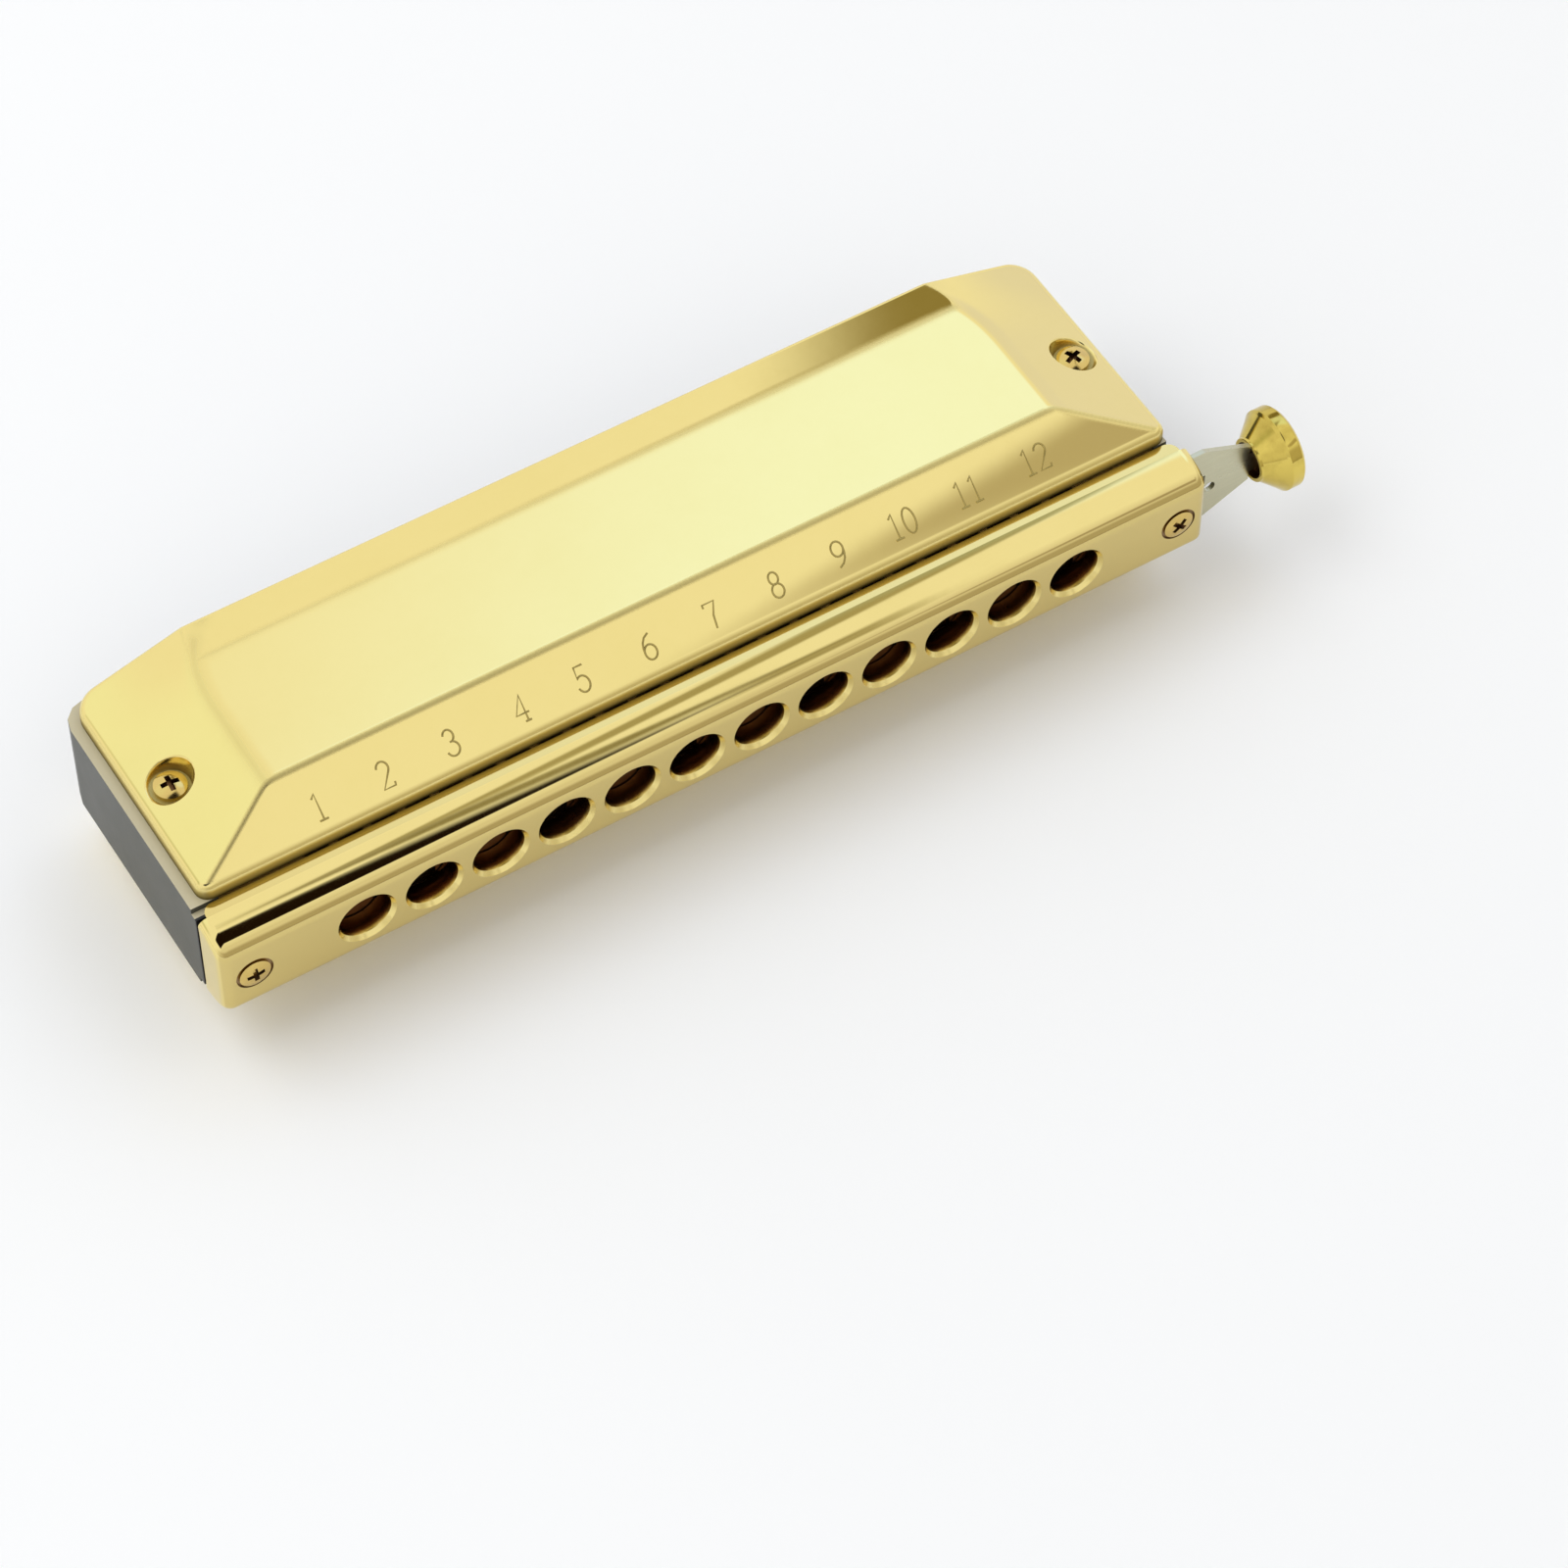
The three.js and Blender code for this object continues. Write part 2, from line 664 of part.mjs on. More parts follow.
function plate_screw_places() {
  const front = reed_plate_front + plate_screw_front_edge;
  const back = reed_plate_back - plate_screw_back_edge;
  return ends.flatMap((end) => [
    [end * plate_screw_reach, front],
    [end * plate_screw_reach * plate_screw_inner_share, back],
    [end * plate_screw_reach, back],
  ]);
}

// Every second reed lies on the outer face, riveted at its back end; the others lie inside
function reed_is_outside(reed) {
  return reed % 2 === 0;
}

function reed_slot_range(reed) {
  const front = reed_plate_front + reed_slot_front;
  return [front, front + slot_length(reed)];
}

function riveted_reed(reed, side) {
  const outside = reed_is_outside(reed);
  const [front, back] = reed_slot_range(reed);
  const face = outside ? half_height : comb_core_height / 2;
  const away = outside ? side : -side;
  const top = side * face + away * reed_thickness;
  const half = reed_slot_width / 2 - reed_side_gap;
  const range = outside
    ? [front + reed_side_gap, back + reed_pad_length]
    : [front - reed_pad_length, back - reed_side_gap];
  const x = reed_x(reed);
  const strip = block([x - half, x + half], range, [side * face, top]);
  const rivet_depth = outside ? back + reed_pad_length / 2 : front - reed_pad_length / 2;
  const sunk = Math.abs(side * face - away * reed_plate_thickness * rivet_sink_share);
  const proud = Math.abs(top + away * rivet_height);
  const profile = disc_profile(rivet_diameter / 2, Math.min(sunk, proud), Math.max(sunk, proud));
  return strip.add(upright(profile, rivet_sides, x, rivet_depth, side));
}

function reed_plate(side) {
  const inner = comb_core_height / 2;
  const body = block(
    [-reed_plate_half, reed_plate_half],
    [reed_plate_front, reed_plate_back],
    [side * inner, side * half_height],
  );
  const through = [inner - overrun, half_height + overrun];
  const slots = Array.from({ length: reed_count }, (_, reed) => block(
    [reed_x(reed) - reed_slot_width / 2, reed_x(reed) + reed_slot_width / 2],
    reed_slot_range(reed),
    through.map((height) => side * height),
  ));
  const screw_hole = disc_profile(plate_screw.shank / 2 + screw_clearance, ...through);
  const screw_holes = plate_screw_places().map(([x, depth]) =>
    upright(screw_hole, plate_screw.sides, x, depth, side));
  const cover_hole = disc_profile(cover_screw.shank / 2 + screw_clearance, ...through);
  const cover_holes = ends.map((end) =>
    upright(cover_hole, round_sides, end * cover_screw_reach, cover_screw_depth, side));
  const reeds = Array.from({ length: reed_count }, (_, reed) => riveted_reed(reed, side));
  return join([cut(body, [...slots, ...screw_holes, ...cover_holes]), ...reeds]);
}

function windsaver(reed, side) {
  const [front, back] = reed_slot_range(reed);
  const half = windsaver_width / 2;
  return block(
    [reed_x(reed) - half, reed_x(reed) + half],
    [front - windsaver_tip_length, back + windsaver_glue_length],
    [side * half_height, side * (half_height + windsaver_thickness)],
  );
}

// Covers

// The closed outer form of a cover, with every face moved inwards by the inset
function cover_form(side, inset) {
  const bend = half_height + cover_skirt_height;
  const crest = panel_height;
  const foot = half_height - (inset > 0 ? overrun : 0);
  const bend_radius = Math.max(cover_bend_radius - inset, 0);
  const crease_radius = Math.max(cover_crease_radius - inset, 0);
  const rim = crest - cover_rim_drop;
  const low = half_height - 2 * overrun;
  const lift = (points, radii) => {
    const moved = inset > 0 ? inset_outline(points, inset) : points;
    const rounded = round_outline(moved, radii, corner_steps);
    return rounded.map(([a, height]) => [a, side * Math.max(height, foot)]);
  };
  const cross_points = [
    [cover_front, low],
    [cover_front, bend],
    [panel_front, crest],
    [panel_back, crest],
    [cover_back, rim],
    [cover_back, low],
  ];
  const cross_section = lift(cross_points, [0, bend_radius, crease_radius, crease_radius, 0, 0]);
  const long_points = [
    [-cover_half, low],
    [-cover_half, bend],
    [-panel_half, crest],
    [panel_half, crest],
    [cover_half, bend],
    [cover_half, low],
  ];
  const long_radii = [0, bend_radius, crease_radius, crease_radius, bend_radius, 0];
  const long_section = lift(long_points, long_radii);
  const front_radius = Math.max(cover_front_corner_radius - inset, 0);
  const back_radius = Math.max(cover_back_corner_radius - inset, 0);
  const plan = round_outline(
    rectangle([inset - cover_half, cover_half - inset], [cover_front + inset, cover_back - inset]),
    [front_radius, front_radius, back_radius, back_radius],
    corner_steps,
  );
  const heights = [side * foot, side * (crest + overrun)].sort((a, b) => a - b);
  const whole = prism('x', cross_section, [-cover_half, cover_half])
    .intersect(prism('y', long_section, [cover_front, cover_back]))
    .intersect(prism('z', plan, heights));
  return cut(whole, ends.map((end) => corner_wedge(side, end, inset)));
}

// What lies above the sloping face between the panel's back corner, the rim's end and the back corner
function corner_wedge(side, end, inset) {
  const at = (x, depth, height) =>
    new THREE.Vector3(end * x, at_depth(depth), at_height(side * height));
  const panel_corner = at(panel_half, panel_back, panel_height);
  const rim_end = at(rim_half, cover_back, panel_height - cover_rim_drop);
  const back_corner = at(cover_half, cover_back, half_height + cover_skirt_height);
  const along = rim_end.clone().sub(panel_corner);
  const across = back_corner.clone().sub(panel_corner);
  const normal = along.cross(across).normalize();
  normal.multiplyScalar(Math.sign(normal.z) * side);
  const size = 2 * cover_half;
  const geometry = new THREE.BoxGeometry(size, size, size);
  geometry.translate(0, 0, size / 2 - inset);
  const up = new THREE.Vector3(0, 0, 1);
  geometry.applyQuaternion(new THREE.Quaternion().setFromUnitVectors(up, normal));
  geometry.translate(panel_corner.x, panel_corner.y, panel_corner.z);
  return to_solid(geometry);
}

// A disc at each of the two cover screws
function at_cover_screws(radius, from, to, side) {
  const profile = disc_profile(radius, from, to);
  return ends.map((end) =>
    upright(profile, round_sides, end * cover_screw_reach, cover_screw_depth, side));
}

function cover(side) {
  const outer = cover_form(side, 0);
  const inner = cover_form(side, cover_wall);
  const well = cover_seat_diameter / 2;
  const hole = cover_screw.shank / 2 + screw_clearance;
  const seats = at_cover_screws(well + cover_wall, cover_seat - cover_wall, panel_height, side);
  const shell = outer.subtract(cut(inner, seats));
  const wells = [
    ...at_cover_screws(well, cover_seat, panel_height + overrun, side),
    ...at_cover_screws(hole, half_height, panel_height, side),
  ];
  const opening = block(
    [-rim_half, rim_half],
    [cover_back - 2 * cover_wall, cover_back + overrun],
    [side * (half_height - overrun), side * (panel_height - cover_rim_drop - cover_rim_lip)],
  );
  return cut(shell, [...wells, opening]);
}

// Assembly

add_piece('mouthpiece', mouthpiece(), gold);
add_piece('slide_back_plate', slide_back_plate(), brass);
add_piece('comb', comb(), grey_plastic);
add_piece('slide', slide(), steel);
add_piece('slide_button', slide_button(), brass);
add_piece('slide_spring', slide_spring(), spring_steel);
add_piece('slide_bumper', slide_bumper(), rubber);

const end_words = [[-1, 'left'], [1, 'right']];
for (const [end, word] of end_words) {
  const screw = screw_in_depth(mouthpiece_screw, end * mouthpiece_screw_reach, 0);
  add_piece(`mouthpiece_screw_${word}`, screw, brass);
}

for (const [side, word] of [[1, 'upper'], [-1, 'lower']]) {
  add_piece(`${word}_reed_plate`, reed_plate(side), reed_brass);
  add_piece(`${word}_cover`, cover(side), gold);
  plate_screw_places().forEach(([x, depth], i) => {
    const screw = screw_in_height(plate_screw, x, depth, half_height, side);
    add_piece(`${word}_plate_screw_${i + 1}`, screw, brass);
  });
  for (const [end, end_word] of end_words) {
    const x = end * cover_screw_reach;
    const screw = screw_in_height(cover_screw, x, cover_screw_depth, cover_seat, side);
    add_piece(`${word}_cover_screw_${end_word}`, screw, brass);
  }
  for (let reed = 0; reed < reed_count; reed += 1) {
    if (reed_is_outside(reed)) continue;
    add_piece(`${word}_windsaver_${(reed + 1) / 2}`, windsaver(reed, side), valve_film);
  }
}

export default part;
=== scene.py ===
import math

import bmesh
import bpy
import numpy as np
from mathutils import Matrix, Vector


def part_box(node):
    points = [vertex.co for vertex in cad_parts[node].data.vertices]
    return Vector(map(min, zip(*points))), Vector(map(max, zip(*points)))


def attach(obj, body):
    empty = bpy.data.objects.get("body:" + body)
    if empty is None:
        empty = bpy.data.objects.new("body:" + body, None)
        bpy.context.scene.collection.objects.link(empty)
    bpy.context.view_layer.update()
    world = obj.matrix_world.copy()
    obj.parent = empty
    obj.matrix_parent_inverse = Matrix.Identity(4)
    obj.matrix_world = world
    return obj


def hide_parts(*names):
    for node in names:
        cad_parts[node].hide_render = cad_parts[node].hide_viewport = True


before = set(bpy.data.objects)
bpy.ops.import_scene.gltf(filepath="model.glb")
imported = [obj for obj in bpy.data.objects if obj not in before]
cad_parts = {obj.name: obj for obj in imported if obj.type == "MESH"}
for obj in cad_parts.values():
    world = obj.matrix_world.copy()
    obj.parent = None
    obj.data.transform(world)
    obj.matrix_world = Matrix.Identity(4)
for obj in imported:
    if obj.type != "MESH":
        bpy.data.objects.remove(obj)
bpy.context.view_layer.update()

# Lengths below are in millimetres. A depth is measured back from the mouthpiece's face, and a
# height from the middle plane of the comb, and place() turns them into the frame's metres.
MM = 0.001
TINY = 1e-9
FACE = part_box("mouthpiece")[0].y / MM
MIDDLE = (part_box("comb")[0].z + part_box("comb")[1].z) / 2 / MM
ENDS = (-1, 1)
SIDES = ((1, "upper"), (-1, "lower"))

HOLE_COUNT = 12
HOLE_PITCH = 9.2
HOLE_RADIUS = 3.55
HOLE_LIP = 0.45
HOLE_LIP_DEPTH = 0.6

MOUTHPIECE_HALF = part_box("mouthpiece")[1].x / MM
MOUTHPIECE_EDGE = 7.5
MOUTHPIECE_BACK = 5.1
MOUTHPIECE_FLAT = 4.6
MOUTHPIECE_ROUND_DEPTH = 6.2
POCKET_FRONT = 3.5
POCKET_HALF = 6.6
POCKET_LEFT = -67.1
LIP_HALF = 69.0
LIP_BACK = 6.8
LIP_CORNER = 1.5
LIP_STEPS = 6
LIP_THICKNESS = 0.8

COVER_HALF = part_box("upper_cover")[1].x / MM
COVER_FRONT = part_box("upper_cover")[0].y / MM - FACE
COVER_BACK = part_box("upper_cover")[1].y / MM - FACE
COVER_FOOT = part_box("upper_cover")[0].z / MM - MIDDLE
COVER_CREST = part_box("upper_cover")[1].z / MM - MIDDLE
COVER_BEND = 9.35
PANEL_HALF = 55.75
PANEL_FRONT = COVER_FRONT + 7.0
PANEL_BACK = PANEL_FRONT + 20.35
RIM_HALF = 53.0
RIM_DROP = 0.9
RIM_FOOT = COVER_CREST - RIM_DROP - 1.1
COVER_WALL = 0.8

COVER_SCREW_X = 64.35
COVER_SCREW_DEPTH = 22.7
COVER_SEAT = 9.7
MOUTH_SCREW_X = 65.9


def place(x, depth, height):
    x, depth, height = np.broadcast_arrays(x, depth, height)
    return np.stack([x, depth + FACE, height + MIDDLE], axis=-1) * MM


# Making meshes

# The places that grid lines are rounded to, the slack of a comparison, and how far a cut reaches over.
DECIMALS = 5
SLACK = 1e-6
CUT_OVER = 1.0

# The angle in degrees from which an edge shows as sharp.
SHARP = {"plate": 30, "turned": 30, "rail": 40, "head": 35, "button": 25, "bevel": 40}


def new_mesh(name, points, faces):
    mesh = bpy.data.meshes.new(name)
    mesh.from_pydata(points, [], faces)
    return mesh


class Skin:
    """Corners and four-sided faces of one piece, each face corner with the way that it faces.

    Each corner also has its share of painted shade, which the finish reads.
    """

    def __init__(self):
        self.points = []
        self.tarnish = []
        self.faces = []
        self.facings = []
        self.count = 0

    def add_points(self, points, tarnish=0.0):
        flat = np.asarray(points, float).reshape(-1, 3)
        index = self.count + np.arange(len(flat)).reshape(np.shape(points)[:-1])
        self.points.append(flat)
        self.tarnish.append(np.broadcast_to(tarnish, np.shape(points)[:-1]).ravel())
        self.count += len(flat)
        return index

    def add_faces(self, index, facing, keep=None):
        rows = [slice(None, -1), slice(1, None), slice(1, None), slice(None, -1)]
        columns = [slice(None, -1), slice(None, -1), slice(1, None), slice(1, None)]
        quads = np.stack([index[r, c] for r, c in zip(rows, columns)], axis=-1)
        ways = np.stack([facing[r, c] for r, c in zip(rows, columns)], axis=-2)
        if keep is not None:
            quads, ways = quads[keep], ways[keep]
        self.faces.append(quads.reshape(-1, 4))
        self.facings.append(ways.reshape(-1, 4, 3))

    def add_strip(self, rings, facings):
        """Joins closed rings of corners, each to the next."""
        index = np.stack([np.append(ring, ring[0]) for ring in rings])
        facing = np.stack([np.concatenate([way, way[:1]]) for way in facings])
        self.add_faces(index, facing)

    def mesh(self, name):
        points = np.concatenate(self.points)
        faces = np.concatenate(self.faces)
        facings = np.concatenate(self.facings)
        across = points[faces[:, 2]] - points[faces[:, 0]]
        along = points[faces[:, 3]] - points[faces[:, 1]]
        flipped = np.einsum("ij,ij->i", np.cross(across, along), facings.sum(axis=1)) < 0
        faces[flipped] = faces[flipped][:, ::-1]
        facings[flipped] = facings[flipped][:, ::-1]
        used, renumbered = np.unique(faces, return_inverse=True)
        mesh = new_mesh(name, points[used].tolist(), renumbered.reshape(-1, 4).tolist())
        mesh.polygons.foreach_set("use_smooth", [True] * len(mesh.polygons))
        mesh.normals_split_custom_set(facings.reshape(-1, 3).tolist())
        shares = mesh.attributes.new("tarnish", "FLOAT", "POINT")
        shares.data.foreach_set("value", np.concatenate(self.tarnish)[used].tolist())
        return mesh


def link_new(name, data):
    made = bpy.data.objects.new(name, data)
    bpy.context.scene.collection.objects.link(made)
    return made


def add_piece(name, shape, material, body="harmonica", stands_for=()):
    """Puts a mesh or curve in the scene as a piece, with the material unless it has its own."""
    piece = link_new(name, shape)
    if not len(shape.materials):
        shape.materials.append(material)
    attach(piece, body)
    if stands_for:
        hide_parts(*stands_for)


def shade_by_angle(mesh, degrees):
    mesh.polygons.foreach_set("use_smooth", [True] * len(mesh.polygons))
    mesh.set_sharp_from_angle(angle=math.radians(degrees))


def finish_faces(mesh, finishes, choose):
    """Gives each face the finish that choose(face, x, depth, height) names by its number."""
    mesh.materials.clear()
    for finish in finishes:
        mesh.materials.append(finish)
    for face in mesh.polygons:
        face.material_index = choose(face, *(value / MM for value in face.center))


def cut_mesh(body, tool, name):
    """The mesh body with the closed mesh tool cut out of it."""
    body_object, tool_object = link_new("cut_body", body), link_new("cut_tool", tool)
    step = body_object.modifiers.new("cut", "BOOLEAN")
    step.operation = "DIFFERENCE"
    step.solver = "EXACT"
    step.object = tool_object
    shown = bpy.context.evaluated_depsgraph_get()
    result = bpy.data.meshes.new_from_object(body_object.evaluated_get(shown))
    result.name = name
    for made in (body_object, tool_object):
        bpy.data.objects.remove(made)
    return result


def box_mesh(low, high, taper=1.0):
    """A box between two corners, whose low end along Z is narrower where taper is under 1."""
    middle = [(a + b) / 2 for a, b in zip(low, high)]
    points = []
    for z, size in ((low[2], taper), (high[2], 1.0)):
        for x, y in ((low[0], low[1]), (high[0], low[1]), (high[0], high[1]), (low[0], high[1])):
            points.append((middle[0] + (x - middle[0]) * size, middle[1] + (y - middle[1]) * size, z))
    faces = [(3, 2, 1, 0), (4, 5, 6, 7), (0, 1, 5, 4), (1, 2, 6, 5), (2, 3, 7, 6), (3, 0, 4, 7)]
    return new_mesh("box", points, faces)


def plate_mesh(outline, low, high):
    """A flat plate between two heights, from the points of its outline in plan."""
    points = [tuple(place(x, depth, height)) for height in (low, high) for x, depth in outline]
    count = len(outline)
    faces = [tuple(range(count)), tuple(reversed(range(count, 2 * count)))]
    faces += [(k, k + count, (k + 1) % count + count, (k + 1) % count) for k in range(count)]
    mesh = new_mesh("plate", points, faces)
    made = bmesh.new()
    made.from_mesh(mesh)
    bmesh.ops.recalc_face_normals(made, faces=made.faces)
    made.to_mesh(mesh)
    made.free()
    shade_by_angle(mesh, SHARP["plate"])
    return mesh


def rounded_profile(points, radii, steps=6):
    """An open outline with an arc in place of each inner corner that has a radius."""
    made = [points[0]]
    for before, here, after, radius in zip(points, points[1:], points[2:], radii):
        here_v = Vector(here)
        to_before = (Vector(before) - here_v).normalized()
        to_after = (Vector(after) - here_v).normalized()
        if radius <= 0:
            made.append(here)
            continue
        half = to_before.angle(to_after) / 2
        middle = here_v + (to_before + to_after).normalized() * radius / math.sin(half)
        first = here_v + to_before * radius / math.tan(half) - middle
        last = here_v + to_after * radius / math.tan(half) - middle
        turn = first.angle_signed(last)
        for step in range(steps + 1):
            angle = -turn * step / steps
            x = first.x * math.cos(angle) - first.y * math.sin(angle)
            y = first.x * math.sin(angle) + first.y * math.cos(angle)
            made.append((middle.x + x, middle.y + y))
    made.append(points[-1])
    return made


def turned_mesh(name, profile, sides, matrix, sharp="turned"):
    """A solid turned about Z from pairs of radius and height, from axis to axis."""
    rings = profile[1:-1]
    angles = [2 * math.pi * k / sides for k in range(sides)]
    points = [(0, 0, profile[0][1])]
    points += [(r * math.cos(a), r * math.sin(a), h) for r, h in rings for a in angles]
    points.append((0, 0, profile[-1][1]))
    last = len(points) - 1
    faces = []
    for k in range(sides):
        n = (k + 1) % sides
        faces.append((0, 1 + n, 1 + k))
        for ring in range(len(rings) - 1):
            low, high = 1 + ring * sides, 1 + (ring + 1) * sides
            faces.append((low + k, low + n, high + n, high + k))
        top = 1 + (len(rings) - 1) * sides
        faces.append((last, top + k, top + n))
    mesh = new_mesh(name, [matrix @ Vector(p) * MM for p in points], faces)
    shade_by_angle(mesh, SHARP[sharp])
    return mesh


def squares_to_circles(x, y, centre_x, centre_y, inner, outer):
    """Moves the lines of a grid round a centre from squares to circles.

    The change is full up to the inner size and fades to none at the outer square.
    """
    a, b = x - centre_x, y - centre_y
    square = np.maximum(np.abs(a), np.abs(b))
    round_size = np.maximum(np.hypot(a, b), TINY)
    share = np.clip((outer - square) / (outer - inner), 0, 1)
    scale = np.where(square < outer, 1 + share * (square / round_size - 1), 1)
    return centre_x + a * scale, centre_y + b * scale


def fill_lines(marks, spacing):
    """Grid lines at all the marks, and more between them where a gap is over the spacing there."""
    marks = np.unique(np.round(marks, DECIMALS))
    lines = [marks[0]]
    for low, high in zip(marks, marks[1:]):
        count = max(1, math.ceil((high - low) / spacing((low + high) / 2) - SLACK))
        lines.extend(low + (high - low) * (k + 1) / count for k in range(count))
    return np.array(lines)


# Covers

ROLL_ROOM = 0.8
ROLL_RADIUS = 1.2
ROLL_FIT = 0.98
ROLL_STEPS = 8
CORNER_RADII = {"front": 1.8, "back": 3.2}
SEAT_RADIUS = 3.0
SEAT_WALL = (0.42, 0.16)
SEAT_RINGS = (0, 0.9, 1.7, 2.3, 2.55, 2.65, 2.75, 2.85, 2.95, 3.05, 3.15)
SEAT_ROUND = 3.2
SEAT_SQUARE = 3.43
TWIST_START = 26.0
TWIST_POWER = 2.5
RIM_ENDS = (0.7, 0.1)
BEVEL_CROWN = 0.1
FRONT_BLEND = 0.6
END_BLEND = 0.9
BACK_BLEND = 0.16

# How much painted shade lies in each crease, in the seats and at the foot of the rolled edge. The front
# crease has it in full over a narrow band, and a seat a little past its wall.
PAINTED_SHADE = {"end": 0.5, "back": 0.45, "front": 0.6, "seat": 0.8, "roll": 0.72}
FRONT_BAND = (1.5, 1.8)
SEAT_SHADE_REACH = (0.1, 0.4)

# How close the grid's lines lie along X and along the depth, and how far each crease's part reaches.
SPACING_X = {"panel": 2.5, "end": 0.3}
SPACING_DEPTH = {"bevel": 0.25, "front": 0.1, "back": 0.15, "panel": 1.5, "twist": 0.5}
CREASE_REACH = {"front": 1, "back": 1.2, "end": 1.5}


def soft_min(a, b, blend):
    near = np.maximum(blend - np.abs(a - b), 0) / blend
    return np.minimum(a, b) - near**3 * blend / 6


def smooth_share(value, low, high):
    share = np.clip((value - low) / (high - low), 0, 1)
    return share * share * (3 - 2 * share)


def cover_faces(x, depth):
    """Heights of the faces that bound a cover: its end, its back slope and its front bevel."""
    x = np.abs(x)
    back_share = np.clip((depth - TWIST_START) / (COVER_BACK - TWIST_START), 0, 1) ** TWIST_POWER
    top_half = PANEL_HALF + (RIM_HALF - PANEL_HALF) * back_share
    top = COVER_CREST - RIM_DROP * back_share
    end = COVER_BEND + (top - COVER_BEND) * (COVER_HALF - x) / (COVER_HALF - top_half)
    back = COVER_CREST - RIM_DROP * (depth - PANEL_BACK) / (COVER_BACK - PANEL_BACK)
    front_share = np.clip((depth - COVER_FRONT) / (PANEL_FRONT - COVER_FRONT), 0, 1)
    front = COVER_BEND + (depth - COVER_FRONT) * (COVER_CREST - COVER_BEND) / (PANEL_FRONT - COVER_FRONT)
    return end, back, front + 4 * BEVEL_CROWN * front_share * (1 - front_share)


def cover_height(x, depth):
    """Height of a cover's outer face: a flat panel, a front bevel and softer sloped ends."""
    end, back, front = cover_faces(x, depth)
    height = soft_min(soft_min(COVER_CREST, end, END_BLEND), back, BACK_BLEND)
    return soft_min(height, front, FRONT_BLEND)


def screw_distance(x, depth):
    return np.hypot(np.abs(x) - COVER_SCREW_X, depth - COVER_SCREW_DEPTH)


def cover_tarnish(x, depth):
    """Painted shade along the creases and in the seats of the screws, where the polish is also duller."""
    end, back, front = cover_faces(x, depth)
    flat = np.minimum(COVER_CREST, end)
    # The end crease gets painted shade on the left end only.
    on_left = PAINTED_SHADE["end"] * (x < 0)
    end_share = on_left * np.clip(1 - np.abs(COVER_CREST - end) / END_BLEND, 0, 1) * (end < front)
    back_share = PAINTED_SHADE["back"] * np.clip(1 - np.abs(flat - back) / BACK_BLEND, 0, 1) * (flat < front)
    level, fall = FRONT_BAND
    front_gap = np.abs(np.minimum(flat, back) - front)
    front_share = PAINTED_SHADE["front"] * np.clip(level - fall * front_gap / FRONT_BLEND, 0, 1)
    near = -screw_distance(x, depth)
    seat = PAINTED_SHADE["seat"] * smooth_share(near, -SEAT_RADIUS - SEAT_SHADE_REACH[0], -SEAT_RADIUS + SEAT_SHADE_REACH[1])
    return np.max([end_share, back_share, front_share, seat], axis=0)


def seated_height(x, depth):
    """The outer face with the round seats of the two screws stamped in."""
    away = screw_distance(x, depth)
    share = smooth_share(away, SEAT_RADIUS - SEAT_WALL[0], SEAT_RADIUS + SEAT_WALL[1])
    surface = cover_height(x, depth)
    return np.where(away < SEAT_SQUARE, COVER_SEAT + (surface - COVER_SEAT) * share, surface)


def cover_facing(x, depth, side):
    step = 0.01
    slope_x = (seated_height(x + step, depth) - seated_height(x - step, depth)) / (2 * step)
    slope_y = (seated_height(x, depth + step) - seated_height(x, depth - step)) / (2 * step)
    facing = np.stack([-slope_x, -slope_y, np.ones_like(slope_x)], axis=-1)
    facing /= np.linalg.norm(facing, axis=-1, keepdims=True)
    return facing * [1, 1, side]


def cover_lines():
    """Grid lines of a cover along X and along its depth, close together where it bends."""
    seat = np.array([*SEAT_RINGS, SEAT_ROUND, SEAT_SQUARE])
    edge_x = COVER_HALF - ROLL_ROOM
    corners = [edge_x - (radius - ROLL_ROOM) for radius in CORNER_RADII.values()]
    marks = [0, PANEL_HALF, RIM_HALF, edge_x, *corners, *(COVER_SCREW_X + seat), *(COVER_SCREW_X - seat)]
    panel_end = RIM_HALF - CREASE_REACH["end"]
    right = fill_lines(marks, lambda x: SPACING_X["panel" if x < panel_end else "end"])

    edge_front, edge_back = COVER_FRONT + ROLL_ROOM, COVER_BACK - ROLL_ROOM
    front, back = CREASE_REACH["front"], CREASE_REACH["back"]
    marks = [edge_front, PANEL_FRONT - front, PANEL_FRONT + front, edge_back]
    marks += [edge_front + CORNER_RADII["front"] - ROLL_ROOM, edge_back - CORNER_RADII["back"] + ROLL_ROOM]
    marks += [PANEL_BACK - back, PANEL_BACK + back, *(COVER_SCREW_DEPTH + seat), *(COVER_SCREW_DEPTH - seat)]

    def spacing(depth):
        if depth < PANEL_FRONT - front:
            return SPACING_DEPTH["bevel"]
        if depth < PANEL_FRONT + front:
            return SPACING_DEPTH["front"]
        if abs(depth - PANEL_BACK) < back:
            return SPACING_DEPTH["back"]
        return SPACING_DEPTH["panel" if depth < TWIST_START else "twist"]

    return np.concatenate([-right[:0:-1], right]), fill_lines(marks, spacing)


